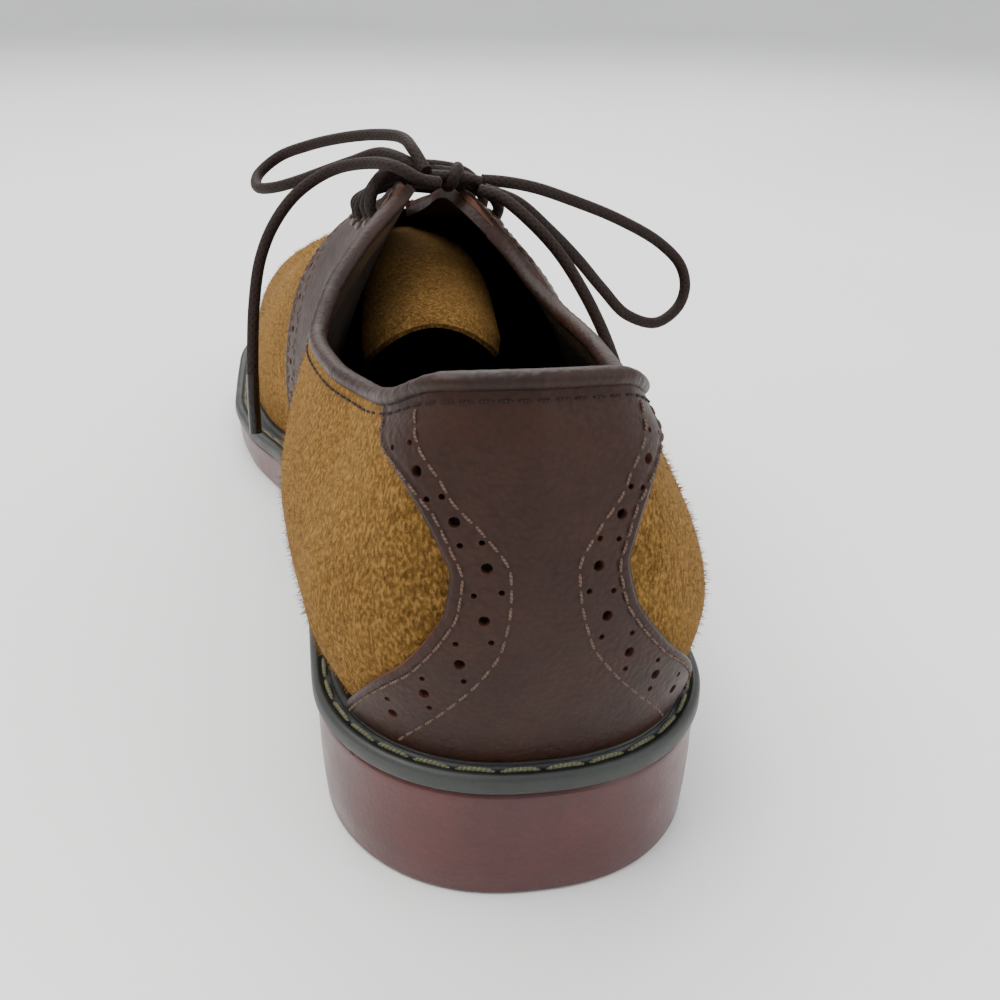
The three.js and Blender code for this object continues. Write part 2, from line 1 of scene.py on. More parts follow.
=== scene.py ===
"""Looks of a suede saddle shoe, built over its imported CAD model.

Frame: +Y runs from heel to toe, +X to the outer side, +Z up. Lengths are metres.
"""

import logging
import math
from dataclasses import dataclass, field
from enum import Enum

import bpy
import numpy as np
from bpy.types import Material, Node, NodeSocket, NodeTree, Object
from mathutils import Matrix, Vector


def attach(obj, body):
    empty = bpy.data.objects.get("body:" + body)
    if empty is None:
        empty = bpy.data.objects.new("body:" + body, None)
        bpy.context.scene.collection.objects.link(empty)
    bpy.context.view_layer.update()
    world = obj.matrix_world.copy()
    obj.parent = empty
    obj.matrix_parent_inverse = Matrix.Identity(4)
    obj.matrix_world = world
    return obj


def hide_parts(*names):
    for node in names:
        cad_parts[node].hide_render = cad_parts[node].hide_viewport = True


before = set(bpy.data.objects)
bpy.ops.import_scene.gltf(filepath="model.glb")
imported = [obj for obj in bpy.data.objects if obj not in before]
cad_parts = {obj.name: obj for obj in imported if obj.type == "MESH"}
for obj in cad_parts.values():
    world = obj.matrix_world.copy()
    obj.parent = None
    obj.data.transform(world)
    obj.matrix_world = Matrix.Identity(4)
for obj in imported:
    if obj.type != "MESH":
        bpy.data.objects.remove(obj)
log = logging.getLogger("saddle_shoe")
Array = np.ndarray
MM = 0.001
SMOOTH_ANGLE = math.radians(38)
HOLE_PITCH = 8.6 * MM
TUCK = 1.2 * MM  # how far the suede and the overlays run under the binding


class Side(Enum):
    """The two sides of the shoe."""

    OUTER = 1
    INNER = -1


@dataclass(frozen=True)
class ShoeSizes:
    """Named sizes of the shoe, the same as in its CAD source."""

    length: float = 302 * MM
    width: float = 108 * MM
    heel_height: float = 22 * MM
    sole_thickness: float = 9.5 * MM
    toe_spring: float = 10.5 * MM
    upper_height: float = 76 * MM
    heel_rounding: float = 38 * MM
    toe_rounding: float = 48 * MM
    taper: float = 1.9 * MM
    welt_thickness: float = 4.5 * MM
    welt_reach: float = 7.5 * MM
    edge_rounding: float = 0.9 * MM
    wall: float = 2.2 * MM
    overlay: float = 1.3 * MM
    gap: float = 0.3 * MM
    lift: float = 0.7 * MM
    insole_thickness: float = 3 * MM
    tongue_thickness: float = 2.6 * MM
    tongue_width: float = 32 * MM
    binding_radius: float = 1.7 * MM
    lace_radius: float = 1.35 * MM
    lace_rest: float = 0.9 * MM
    eyelet_inset: float = 9 * MM
    facing_margin: float = 0.7 * MM
    binding_end: float = 0.375
    free_edge: float = 0.392
    throat_end: float = 0.58
    breast: float = 0.258
    toe_centre: float = 0.8
    toe_softness: float = 0.03
    toe_tip: float = 0.88
    heel_squareness: float = 2.3
    toe_squareness: float = 2.2


# In each table at is a share of the length, from the heel to the toe.
OUTLINE = {
    "at": [0, 0.12, 0.28, 0.42, 0.56, 0.65, 0.72, 0.84, 0.93, 1],
    "outer": [0.325, 0.338, 0.335, 0.37, 0.465, 0.5, 0.49, 0.42, 0.33, 0.24],
    "inner": [0.312, 0.33, 0.322, 0.298, 0.385, 0.47, 0.5, 0.49, 0.44, 0.39],
}
PROFILE = {
    "at": [0, 0.28, 0.4, 0.52, 0.62, 0.72, 0.82, 0.92, 1],
    "heel": [1, 0.96, 0.64, 0.24, 0.04, 0, 0, 0, 0],
    "toe": [0, 0, 0, 0, 0, 0, 0.14, 0.52, 1],
}
UNDERSIDE = {
    "at": [0.262, 0.35, 0.45, 0.55, 0.6, 0.74, 0.8, 0.9, 1],
    "heel": [0.88, 0.7, 0.38, 0.08, 0, 0, 0, 0, 0],
    "toe": [0, 0, 0, 0, 0, 0, 0.08, 0.43, 1],
}
WELT = {"at": [0, 0.3, 0.5, 0.7, 1], "reach": [0.73, 0.73, 0.87, 1, 1]}
OUTER_EDGE = {
    "at": [0, 0.03, 0.07, 0.12, 0.17, 0.24, 0.3, 0.335, 0.365, 0.385, 0.42, 0.5, 0.58],
    "x": [-0.009, 0.102, 0.162, 0.19, 0.211, 0.227, 0.208, 0.171, 0.116, 0.051, 0.02, -0.007, -0.028],
    "y": [-0.477, -0.469, -0.434, -0.381, -0.334, -0.265, -0.205, -0.169, -0.139, -0.123, -0.086, 0, 0.079],
    "height": [0.87, 0.86, 0.785, 0.72, 0.683, 0.656, 0.67, 0.73, 0.84, 0.935, 0.974, 0.92, 0.862],
}
INNER_EDGE = {
    "at": [0, 0.03, 0.07, 0.12, 0.17, 0.24, 0.3, 0.335, 0.365, 0.385, 0.42, 0.5, 0.58],
    "x": [-0.009, -0.13, -0.19, -0.222, -0.264, -0.287, -0.255, -0.194, -0.13, -0.083, -0.069,
          -0.061, -0.056],
    "y": [-0.477, -0.467, -0.43, -0.381, -0.328, -0.258, -0.209, -0.172, -0.142, -0.119, -0.086, 0, 0.079],
    "height": [0.87, 0.86, 0.78, 0.728, 0.709, 0.698, 0.77, 0.87, 0.95, 0.995, 0.993, 0.934, 0.868],
}
CREST = {
    "at": [0.58, 0.64, 0.7, 0.76, 0.8],
    "x": [-0.042, -0.046, -0.051, -0.057, -0.065],
    "y": [0.079, 0.14, 0.2, 0.26, 0.3],
    "height": [0.868, 0.807, 0.719, 0.63, 0.574],
}
RIB = {
    "at": [0, 0.05, 0.12, 0.2, 0.3, 0.385, 0.5, 0.58, 0.7, 0.85, 1],
    "rise": [0.36, 0.36, 0.33, 0.33, 0.35, 0.42, 0.5, 0.55, 0.56, 0.58, 0.6],
    "low_outer": [0.056, 0.083, 0.125, 0.139, 0.12, 0.093, 0.074, 0.056, 0.046, 0.046, 0.037],
    "low_inner": [0.056, 0.083, 0.12, 0.13, 0.093, 0.074, 0.056, 0.056, 0.046, 0.046, 0.037],
    "run": [0, 0, 0, 0, 0.1, 0.3, 0.45, 0.55, 0.56, 0.6, 0.6],
    "high_outer": [0.046, 0.065, 0.102, 0.116, 0.093, 0.056, 0.019, 0, 0, 0, 0],
    "high_inner": [0.046, 0.065, 0.093, 0.093, 0.074, 0.046, 0.019, 0, 0, 0, 0],
    "fall": [0.48, 0.48, 0.48, 0.48, 0.42, 0.22, 0.06, 0, 0, 0, 0],
}
COUNTER = {
    "at": [0, 0.08, 0.24, 0.29, 0.37, 0.43, 0.5, 0.6, 0.68, 0.75, 0.87, 0.92, 1],
    "spread": [0.091, 0.08, 0.059, 0.0525, 0.046, 0.0425, 0.04, 0.041, 0.047, 0.054, 0.072, 0.081, 0.091],
}
COUNTER_BAND = {
    "at": [0, 0.175, 0.3, 0.4, 0.5, 0.62, 0.72, 0.8, 0.84, 0.91, 1],
    "spread": [0.058, 0.034, 0.022, 0.0165, 0.0155, 0.018, 0.032, 0.0455, 0.05, 0.06, 0.068],
}
SADDLE = {
    "at": [0, 0.2, 0.4, 0.6, 0.8, 1],
    "back": [0.475, 0.462, 0.445, 0.42, 0.385, 0.345],
    "front": [0.545, 0.56, 0.575, 0.588, 0.596, 0.598],
}
TONGUE = {
    "at": [0, 0.3, 0.55, 0.8, 1],
    "x": [-0.037, -0.031, -0.031, -0.039, -0.051],
    "y": [0.089, 0, -0.066, -0.132, -0.185],
    "height": [0.794, 0.808, 0.796, 0.715, 0.636],
    "half": [0.41, 0.45, 0.47, 0.5, 0.515],
    "depth": [0.11, 0.2, 0.3, 0.39, 0.44],
}
EYELETS = (0.404, 0.441, 0.478, 0.515, 0.552)

# Middle lines of the bow in millimetres, from the knot outwards, as in the CAD.
BOW = {
    "lace_knot": [(8.2, -32.2, 98.2), (5, -32, 99), (1, -31.8, 99.5), (-3, -32, 99.8)],
    "lace_loop_outer": [
        (8.8, -30.8, 98.4), (14, -30.1, 97.8), (21.5, -28, 96), (31, -25, 92.4), (43.5, -22, 87),
        (54.7, -20, 80.6), (60.5, -20, 74.9), (61.8, -21, 69.6), (60, -22, 64.8), (54.1, -24, 61.6),
        (45.8, -26, 64.5), (38.5, -29, 72), (31, -33, 80.5), (23.5, -35.5, 88), (16, -35.8, 94.4),
        (8.8, -33.8, 97),
    ],
    "lace_loop_inner": [
        (-4.2, -30.8, 100.1), (-8, -28.5, 102.4), (-13, -22, 103.2), (-19.2, -15, 100.2), (-26, -11, 97.2),
        (-32, -8, 94.6), (-37.5, -3, 92.3), (-41.5, 5, 91), (-41, 13, 92.8), (-36, 14, 96.6),
        (-29, 9, 100), (-21, 0, 103.2), (-13, -11, 105.6), (-8, -22, 106.4), (-6.4, -29, 104.9),
        (-4.2, -33.6, 101.2),
    ],
    "lace_end_outer": [
        (7.5, -35.9, 97.3), (12, -38.6, 95.9), (18, -42.3, 91.2), (23.8, -44.5, 85), (29, -47.5, 77),
        (33.4, -51, 68), (36.8, -55, 58), (39, -58.5, 48), (40, -61, 39),
    ],
    "lace_end_inner": [
        (-1.8, -36.1, 99), (-6, -38.6, 100.2), (-11, -36.5, 102.6), (-17, -28, 102), (-25, -20, 98.8),
        (-32.5, -18, 93.5), (-38, -20, 87), (-41.5, -22, 79.5), (-43.5, -25, 70), (-44.5, -28, 60),
        (-45, -31, 50), (-45, -33, 41),
    ],
}


def read(table: dict, column: str, at: Array) -> Array:
    """Reads one column of a table with a monotone cubic.

    Args:
        table: Columns of numbers, with the places in "at".
        column: Name of the column.
        at: Places to read at.

    Returns:
        The values, in the shape of at.
    """
    x = np.asarray(table["at"], float)
    y = np.asarray(table[column], float)
    h = np.diff(x)
    chord = np.diff(y) / h
    slope = np.concatenate([chord[:1], np.zeros(len(x) - 2), chord[-1:]])
    before, after = chord[:-1], chord[1:]
    same = before * after > 0
    w1 = 2 * h[1:] + h[:-1]
    w2 = h[1:] + 2 * h[:-1]
    slope[1:-1][same] = (w1 + w2)[same] / (w1[same] / before[same] + w2[same] / after[same])
    u = np.clip(at, x[0], x[-1])
    i = np.clip(np.searchsorted(x, u, side="right") - 1, 0, len(x) - 2)
    t = (u - x[i]) / h[i]
    low = (1 + 2 * t) * (1 - t) ** 2 * y[i] + t * (1 - t) ** 2 * h[i] * slope[i]
    return low + t * t * (3 - 2 * t) * y[i + 1] + t * t * (t - 1) * h[i] * slope[i + 1]


def ease(u: Array, start: float, end: float) -> Array:
    """Eases from 0 to 1."""
    t = np.clip((u - start) / (end - start), 0, 1)
    return t * t * (3 - 2 * t)


def unit(v: Array) -> Array:
    """Scales vectors to length one."""
    return v / np.maximum(np.linalg.norm(v, axis=-1, keepdims=True), 1e-12)


def run_along(points: Array, axis: int = 0) -> Array:
    """Measures how far along a line, or along each line of a net, the points are."""
    steps = np.linalg.norm(np.diff(points, axis=axis), axis=-1)
    return np.cumsum(np.insert(steps, 0, 0, axis), axis)


def sample(line: Array, run: Array, at: Array) -> Array:
    """Reads a line's points, or values kept beside them, at distances along it."""
    return np.stack([np.interp(at, run, line[:, c]) for c in range(3)], -1)


def girth_at(u: Array, side: Side) -> Array:
    """Finds the place on the girth for a share of the length."""
    return side.value * np.arccos(np.clip(1 - 2 * np.asarray(u, float), -1, 1)) / (2 * np.pi)


@dataclass(frozen=True)
class ShoeForm:
    """The shoe's outer form, the same function as in the CAD source."""

    sizes: ShoeSizes

    def place(self, girth: Array) -> tuple[Array, Array]:
        """Splits a girth into side and share of the length.

        Args:
            girth: Place on the girth.

        Returns:
            Whether it is on the outer side, and the share of the length.
        """
        g = np.mod(girth, 1)
        outer = g <= 0.5
        b = np.where(outer, 2 * g, 2 - 2 * g)
        return outer, (1 - np.cos(np.pi * b)) / 2

    def outline(self, girth: Array) -> Array:
        """Gives the sole's outline in plan.

        Args:
            girth: Place on the girth.

        Returns:
            Points at height zero.
        """
        s = self.sizes
        outer, u = self.place(girth)
        a = read(OUTLINE, "outer", u)
        b = read(OUTLINE, "inner", u)
        heel = np.maximum(1 - u * s.length / s.heel_rounding, 0) ** s.heel_squareness
        toe = np.maximum(1 - (1 - u) * s.length / s.toe_rounding, 0) ** s.toe_squareness
        heel_end = np.maximum(1 - heel, 0) ** (1 / s.heel_squareness)
        end = heel_end * np.maximum(1 - toe, 0) ** (1 / s.toe_squareness)
        x = s.width * ((a - b) / 2 + np.where(outer, 1, -1) * (a + b) / 2 * end)
        return np.stack([x, s.length * (u - 0.5), np.zeros_like(x)], -1)

    def outward(self, girth: Array) -> Array:
        """Gives the outline's outward direction."""
        d = self.outline(girth + 1e-4) - self.outline(girth - 1e-4)
        return unit(np.stack([d[..., 1], -d[..., 0], np.zeros_like(d[..., 0])], -1))

    def inset(self, girth: Array, distance: Array, z: Array) -> Array:
        """Moves the outline inwards.

        Args:
            girth: Place on the girth.
            distance: How far inwards.
            z: Height of the points.

        Returns:
            The points.
        """
        p = self.outline(girth) - self.outward(girth) * np.asarray(distance)[..., None]
        p[..., 2] = z
        return p

    def rise(self, table: dict, u: Array) -> Array:
        """Gives the height that the heel and the toe spring add."""
        s, heel, toe = self.sizes, read(table, "heel", u), read(table, "toe", u)
        return (s.heel_height - s.sole_thickness) * heel + s.toe_spring * toe

    def sole_top(self, u: Array) -> Array:
        """Gives the height of the sole's upper face."""
        return self.sizes.sole_thickness + self.rise(PROFILE, u)

    def reach(self, u: Array) -> Array:
        """Gives how far the welt reaches beyond the upper."""
        return self.sizes.welt_reach * read(WELT, "reach", u)

    def seat(self, u: Array) -> Array:
        """Gives the height at which the upper stands on the welt."""
        return self.sole_top(u) + self.sizes.gap + self.sizes.welt_thickness

    def placed(self, table: dict, at: Array, u: Array) -> Array:
        """Reads a point whose x, y and height are shares.

        Args:
            table: Table with x, y and height.
            at: Where to read it.
            u: Share of the length whose seat carries the height.

        Returns:
            The points.
        """
        s = self.sizes
        z = self.seat(u) + s.upper_height * read(table, "height", at)
        return np.stack([s.width * read(table, "x", at), s.length * read(table, "y", at), z], -1)

    def crest(self, u: Array) -> Array:
        """Gives the crest of the vamp, held at the centre of the toe.

        Args:
            u: Share of the length.

        Returns:
            The points.
        """
        s = self.sizes
        before = s.toe_centre - np.minimum(u, 0.9)
        held = s.toe_centre - s.toe_softness * np.log1p(np.exp(before / s.toe_softness))
        at = np.where(u > s.toe_tip, s.toe_centre - s.toe_softness / 20, held)
        return self.placed(CREST, at, at)

    def top_edge(self, girth: Array) -> Array:
        """Gives the upper's top edge, or its crest in front of the throat.

        Args:
            girth: Place on the girth.

        Returns:
            The points.
        """
        outer, u = self.place(girth)
        out = self.placed(OUTER_EDGE, u, u)
        inn = self.placed(INNER_EDGE, u, u)
        edge = np.where(outer[..., None], out, inn)
        return np.where((u > self.sizes.throat_end + 1e-6)[..., None], self.crest(u), edge)

    def rib(self, girth: Array) -> tuple[Array, ...]:
        """Gives the four control points of each rib.

        Args:
            girth: Place on the girth.

        Returns:
            The points from the welt to the top edge.
        """
        s = self.sizes
        outer, u = self.place(girth)
        p0 = self.inset(girth, self.reach(u), self.seat(u))
        p3 = self.top_edge(girth)
        out = self.outward(girth)
        across = (p0 - p3) * np.array([1, 1, 0])
        width = np.linalg.norm(across, axis=-1)
        blend = ease(u, 0.3, 0.5)[..., None]
        away = unit(out * (1 - blend) + unit(across) * blend)
        height = p3[..., 2] - p0[..., 2]
        low = s.width * np.where(outer, read(RIB, "low_outer", u), read(RIB, "low_inner", u))
        bulge = s.width * np.where(outer, read(RIB, "high_outer", u), read(RIB, "high_inner", u))
        high = read(RIB, "run", u) * width + bulge
        p1 = p0 + out * low[..., None]
        p1[..., 2] += read(RIB, "rise", u) * height
        p2 = p3 + away * high[..., None]
        p2[..., 2] -= read(RIB, "fall", u) * height
        return p0, p1, p2, p3

    def face(self, girth: Array, t: Array) -> Array:
        """Gives points of the outer face.

        Args:
            girth: Place on the girth.
            t: Height along the rib, 0 at the welt and 1 at the top edge.

        Returns:
            The points.
        """
        p0, p1, p2, p3 = self.rib(girth)
        t = np.asarray(t, float)[..., None]
        s = 1 - t
        return p0 * s**3 + p1 * 3 * t * s * s + p2 * 3 * t * t * s + p3 * t**3

    def below(self, girth: Array, distance: Array) -> Array:
        """Gives the height at a distance below the top edge."""
        _, _, p2, p3 = self.rib(girth)
        return 1 - distance / (3 * np.linalg.norm(p3 - p2, axis=-1))

    def side_normal(self, girth: Array, t: Array) -> Array:
        """Gives the outward normal of one side.

        Args:
            girth: Place on the girth.
            t: Height along the rib.

        Returns:
            Unit normals.
        """
        e = 4e-4
        lo = np.maximum(t - e, 0)
        hi = np.minimum(t + e, 1)
        mid = (lo + hi) / 2
        along = self.face(girth + e, mid) - self.face(girth - e, mid)
        return unit(np.cross(along, self.face(girth, hi) - self.face(girth, lo)))

    def normal(self, girth: Array, t: Array) -> Array:
        """Gives the outward normal; both sides share one on the crest.

        Args:
            girth: Place on the girth.
            t: Height along the rib.

        Returns:
            Unit normals.
        """
        s = self.sizes
        t = np.broadcast_to(np.asarray(t, float), np.shape(girth))
        _, u = self.place(girth)
        n = self.side_normal(girth, t)
        e = 0.004
        along = self.crest(np.minimum(u + e, s.toe_tip)) - self.crest(u - e)
        high = np.full_like(u, 0.99)
        both = sum(self.side_normal(girth_at(u, side), high) for side in Side)
        square = np.sum(along * along, -1, keepdims=True)
        share = np.sum(both * along, -1, keepdims=True) / np.maximum(square, 1e-12)
        both = unit(both - along * share)
        on_crest = (u > s.throat_end + 1e-6) & (t >= 0.999)
        n = np.where(on_crest[..., None], both, n)
        tip = unit(np.array([0, 0.12, 0.99]))
        return np.where((on_crest & (u > s.toe_tip))[..., None], tip, n)

    def lifted(self, girth: Array, t: Array, lift: Array) -> Array:
        """Gives points at a distance off the outer face, never under the seat.

        Args:
            girth: Place on the girth.
            t: Height along the rib.
            lift: Distance outwards.

        Returns:
            The points.
        """
        p = self.face(girth, t) + self.normal(girth, t) * np.asarray(lift, float)[..., None]
        _, u = self.place(girth)
        p[..., 2] = np.maximum(p[..., 2], self.seat(u))
        return p

    def binding_room(self, u: Array) -> Array:
        """Gives the distance under the top edge that the binding needs."""
        s = self.sizes
        return (2 * s.binding_radius + s.gap) * (1 - ease(u, s.binding_end, s.free_edge))

    def under_binding(self, girth: Array, extra: float = 0) -> Array:
        """Gives the height along the rib just under the binding, or further down by extra."""
        return self.below(girth, self.binding_room(self.place(girth)[1]) + extra)


def smooth_line(points: list, count: int) -> Array:
    """Resamples a centripetal spline through points at even steps.

    Args:
        points: Points that the line meets.
        count: Number of points wanted.

    Returns:
        The line's points.
    """
    p = np.asarray(points, float)
    p = np.vstack([2 * p[0] - p[1], p, 2 * p[-1] - p[-2]])
    fine = []
    for i in range(1, len(p) - 2):
        k = [0.0]
        for a, b in zip(p[i - 1:i + 2], p[i:i + 3]):
            k.append(k[-1] + max(float(np.linalg.norm(b - a)) ** 0.5, 1e-6))
        t = np.linspace(k[1], k[2], 17)[:-1, None]
        a1 = (k[1] - t) / (k[1] - k[0]) * p[i - 1] + (t - k[0]) / (k[1] - k[0]) * p[i]
        a2 = (k[2] - t) / (k[2] - k[1]) * p[i] + (t - k[1]) / (k[2] - k[1]) * p[i + 1]
        a3 = (k[3] - t) / (k[3] - k[2]) * p[i + 1] + (t - k[2]) / (k[3] - k[2]) * p[i + 2]
        b1 = (k[2] - t) / (k[2] - k[0]) * a1 + (t - k[0]) / (k[2] - k[0]) * a2
        b2 = (k[3] - t) / (k[3] - k[1]) * a2 + (t - k[1]) / (k[3] - k[1]) * a3
        fine.append((k[2] - t) / (k[2] - k[1]) * b1 + (t - k[1]) / (k[2] - k[1]) * b2)
    line = np.vstack(fine + [p[-2][None]])
    run = run_along(line)
    return sample(line, run, np.linspace(0, run[-1], count))


def colour(code: str) -> tuple[float, float, float, float]:
    """Turns an sRGB hex code into a linear colour.

    Args:
        code: Six hex digits.

    Returns:
        Red, green, blue and alpha.
    """
    parts = [int(code[i:i + 2], 16) / 255 for i in (0, 2, 4)]
    linear = [c / 12.92 if c <= 0.04045 else ((c + 0.055) / 1.055) ** 2.4 for c in parts]
    return linear[0], linear[1], linear[2], 1.0


def fill(made: Node, inputs: dict) -> None:
    """Sets or links a node's inputs.

    Args:
        made: The node.
        inputs: Socket name or number to a value, or to a socket to link.
    """
    for key, value in inputs.items():
        if isinstance(value, NodeSocket):
            made.id_data.links.new(value, made.inputs[key])
        else:
            made.inputs[key].default_value = value


def node(tree: NodeTree, kind: str, inputs: dict | None = None, **settings: object) -> Node:
    """Adds a node with its settings, values and links.

    Args:
        tree: Tree to add it to.
        kind: Node type.
        inputs: Socket name or number to a value, or to a socket to link.
        **settings: The node's own settings.

    Returns:
        The node.
    """
    made = tree.nodes.new(kind)
    for key, value in settings.items():
        setattr(made, key, value)
    fill(made, inputs or {})
    return made


def ramp(tree: NodeTree, factor: NodeSocket, stops: list) -> NodeSocket:
    """Adds a colour ramp.

    Args:
        tree: Tree to add it to.
        factor: Socket that drives it.
        stops: Pairs of place and hex code.

    Returns:
        Its colour socket.
    """
    made = node(tree, "ShaderNodeValToRGB", {"Fac": factor})
    elements = made.color_ramp.elements
    while len(elements) < len(stops):
        elements.new(0.5)
    for element, (at, code) in zip(elements, stops):
        element.position = at
        element.color = colour(code)
    return made.outputs["Color"]


def noise(tree: NodeTree, size: float, detail: float = 3, vector: NodeSocket | None = None,
          stretch: tuple = (1, 1, 1)) -> NodeSocket:
    """Adds a noise texture on object coordinates.

    Args:
        tree: Tree to add it to.
        size: Size of its grains in metres.
        detail: Octaves of detail.
        vector: Coordinates; the object's own where None.
        stretch: How much longer the grains are along each axis.

    Returns:
        Its factor socket, about 0.5 on average.
    """
    if vector is None:
        vector = node(tree, "ShaderNodeTexCoord").outputs["Object"]
    scale = tuple(1 / s for s in stretch)
    mapped = node(tree, "ShaderNodeMapping", {"Vector": vector, "Scale": scale}).outputs["Vector"]
    inputs = {"Vector": mapped, "Scale": 1 / size, "Detail": detail}
    return node(tree, "ShaderNodeTexNoise", inputs).outputs["Fac"]


def mix(tree: NodeTree, factor: object, a: object, b: object, how: str = "MIX") -> NodeSocket:
    """Mixes two colours."""
    sockets = {0: factor, 6: a, 7: b}
    return node(tree, "ShaderNodeMix", sockets, data_type="RGBA", blend_type=how).outputs[2]


def bump(tree: NodeTree, height: NodeSocket, depth: float, strength: float = 1,
         base: NodeSocket | None = None) -> NodeSocket:
    """Adds a bump of a real depth.

    Args:
        tree: Tree to add it to.
        height: Height from 0 to 1.
        depth: Depth in metres for the whole range.
        strength: How far it turns the normal.
        base: Normal that it builds on.

    Returns:
        The normal.
    """
    inputs = {"Height": height, "Distance": depth, "Strength": strength}
    if base is not None:
        inputs["Normal"] = base
    return node(tree, "ShaderNodeBump", inputs).outputs["Normal"]


def math_node(tree: NodeTree, how: str, a: object, b: object = 0.0) -> NodeSocket:
    """Adds a math node."""
    return node(tree, "ShaderNodeMath", {0: a, 1: b}, operation=how).outputs["Value"]


def between(tree: NodeTree, factor: NodeSocket, low: float, high: float) -> NodeSocket:
    """Spreads a factor between two values."""
    inputs = {"Value": factor, "To Min": low, "To Max": high}
    return node(tree, "ShaderNodeMapRange", inputs).outputs["Result"]


def new_material(name: str) -> tuple[Material, NodeTree, Node]:
    """Makes an empty material.

    Args:
        name: Its name.

    Returns:
        The material, its tree and its shader.
    """
    made = bpy.data.materials.new(name)
    made.use_nodes = True
    return made, made.node_tree, made.node_tree.nodes["Principled BSDF"]


@dataclass(frozen=True)
class SuedeFinish:
    """Napped suede: soft patches, short fibres and a dull sheen."""

    name: str = "tan_suede"
    dark: str = "4A3415"
    middle: str = "745427"
    light: str = "906D37"
    fibre: str = "A88146"

    def material(self) -> Material:
        """Builds the suede.

        Returns:
            The material.
        """
        made, tree, shader = new_material(self.name)
        patches = noise(tree, 26 * MM, 3)
        brushed = noise(tree, 1.9 * MM, 5)
        fibres = noise(tree, 0.6 * MM, 6, stretch=(1, 1, 1.6))
        broad = ramp(tree, patches, [(0.3, self.dark), (0.5, self.middle), (0.72, self.light)])
        fine = ramp(tree, brushed, [(0.36, self.dark), (0.52, self.middle), (0.7, self.light)])
        tone = mix(tree, 0.55, broad, fine)
        # The fibre pattern is partly the suede's own fibre colour and partly painted shade: its darkest stop
        # paints the shadow between the fibres.
        nap = ramp(tree, fibres, [(0.36, "432C0E"), (0.5, self.middle), (0.62, self.fibre)])
        soft = bump(tree, brushed, 0.7 * MM, 0.6)
        fill(shader, {
            "Base Color": mix(tree, 0.5, tone, nap), "Roughness": 0.96, "Specular IOR Level": 0.15,
            "Sheen Weight": 0.2, "Sheen Roughness": 0.45, "Sheen Tint": colour("C79A55"),
            "Normal": bump(tree, fibres, 0.55 * MM, 1.0, soft),
        })
        return made


@dataclass(frozen=True)
class LeatherFinish:
    """Smooth leather with a fine pebble grain."""

    name: str = "brown_leather"
    dark: str = "2A140B"
    light: str = "361B10"
    grain: float = 0.85 * MM
    roughness: float = 0.48

    def material(self) -> Material:
        """Builds the leather.

        Returns:
            The material.
        """
        made, tree, shader = new_material(self.name)
        patches = noise(tree, 14 * MM, 4)
        tone = ramp(tree, patches, [(0.32, self.dark), (0.68, self.light)])
        place = node(tree, "ShaderNodeTexCoord").outputs["Object"]
        grains = {"Vector": place, "Scale": 1 / self.grain, "Randomness": 1.0}
        cells = node(tree, "ShaderNodeTexVoronoi", grains, feature="SMOOTH_F1").outputs["Distance"]
        shade = ramp(tree, cells, [(0.25, "FFFFFF"), (0.8, "A8A8A8")])
        folds = bump(tree, noise(tree, 6 * MM, 2), 0.22 * MM, 0.3)
        fill(shader, {
            "Base Color": mix(tree, 0.5, tone, shade, "MULTIPLY"), "Specular IOR Level": 0.28,
            "Roughness": between(tree, noise(tree, 4 * MM, 3), self.roughness - 0.08, self.roughness + 0.14),
            "Normal": bump(tree, math_node(tree, "SUBTRACT", 1.0, cells), 0.18 * MM, 0.7, folds),
        })
        return made


@dataclass(frozen=True)
class RubberFinish:
    """Moulded rubber with faint mottling and scuffs."""

    name: str
    dark: str
    light: str
    roughness: float = 0.5
    speckle: float = 0.6 * MM
    glow: float = 0.0

    def material(self) -> Material:
        """Builds the rubber.

        Returns:
            The material.
        """
        made, tree, shader = new_material(self.name)
        tone = ramp(tree, noise(tree, 17 * MM, 4), [(0.3, self.dark), (0.7, self.light)])
        dust = ramp(tree, noise(tree, self.speckle, 3), [(0.35, "DADADA"), (0.65, "FFFFFF")])
        fill(shader, {
            "Base Color": mix(tree, 0.5, tone, dust, "MULTIPLY"), "Subsurface Weight": self.glow,
            "Subsurface Radius": (3 * MM, 1.2 * MM, 0.8 * MM),
            "Roughness": between(tree, noise(tree, 6 * MM, 4), self.roughness - 0.1, self.roughness + 0.14),
            "Normal": bump(tree, noise(tree, 0.9 * MM, 3), 0.12 * MM, 0.5),
        })
        return made


@dataclass(frozen=True)
class CordFinish:
    """Braided or twisted cord on UVs: u once around, v in metres along."""

    name: str
    dark: str
    light: str
    pitch: float
    strands: int
    braided: bool = True
    roughness: float = 0.7

    def material(self) -> Material:
        """Builds the cord.

        Returns:
            The material.
        """
        made, tree, shader = new_material(self.name)
        uv = node(tree, "ShaderNodeUVMap", uv_map="UVMap").outputs["UV"]
        parts = node(tree, "ShaderNodeSeparateXYZ", {"Vector": uv}).outputs
        turn = math_node(tree, "MULTIPLY", parts["X"], 2 * math.pi * self.strands)
        run = math_node(tree, "MULTIPLY", parts["Y"], 2 * math.pi / self.pitch)
        waves = [math_node(tree, "SINE", math_node(tree, sign, turn, run)) for sign in ("ADD", "SUBTRACT")]
        woven = math_node(tree, "MAXIMUM", *waves) if self.braided else waves[0]
        height = node(tree, "ShaderNodeMapRange", {"Value": woven, "From Min": -1.0}).outputs["Result"]
        fuzz = noise(tree, 0.35 * MM, 3)
        # Colour follows the braid's height: the darker grooves between the strands are painted shade.
        tone = ramp(tree, height, [(0.15, self.dark), (0.85, self.light)])
        grey = ramp(tree, fuzz, [(0.3, "A0A0A0"), (0.7, "FFFFFF")])
        fill(shader, {
            "Base Color": mix(tree, 0.7, tone, grey, "MULTIPLY"), "Roughness": self.roughness,
            "Specular IOR Level": 0.25,
            "Normal": bump(tree, fuzz, 0.08 * MM, 0.6, bump(tree, height, 0.12 * MM, 0.7)),
        })
        return made


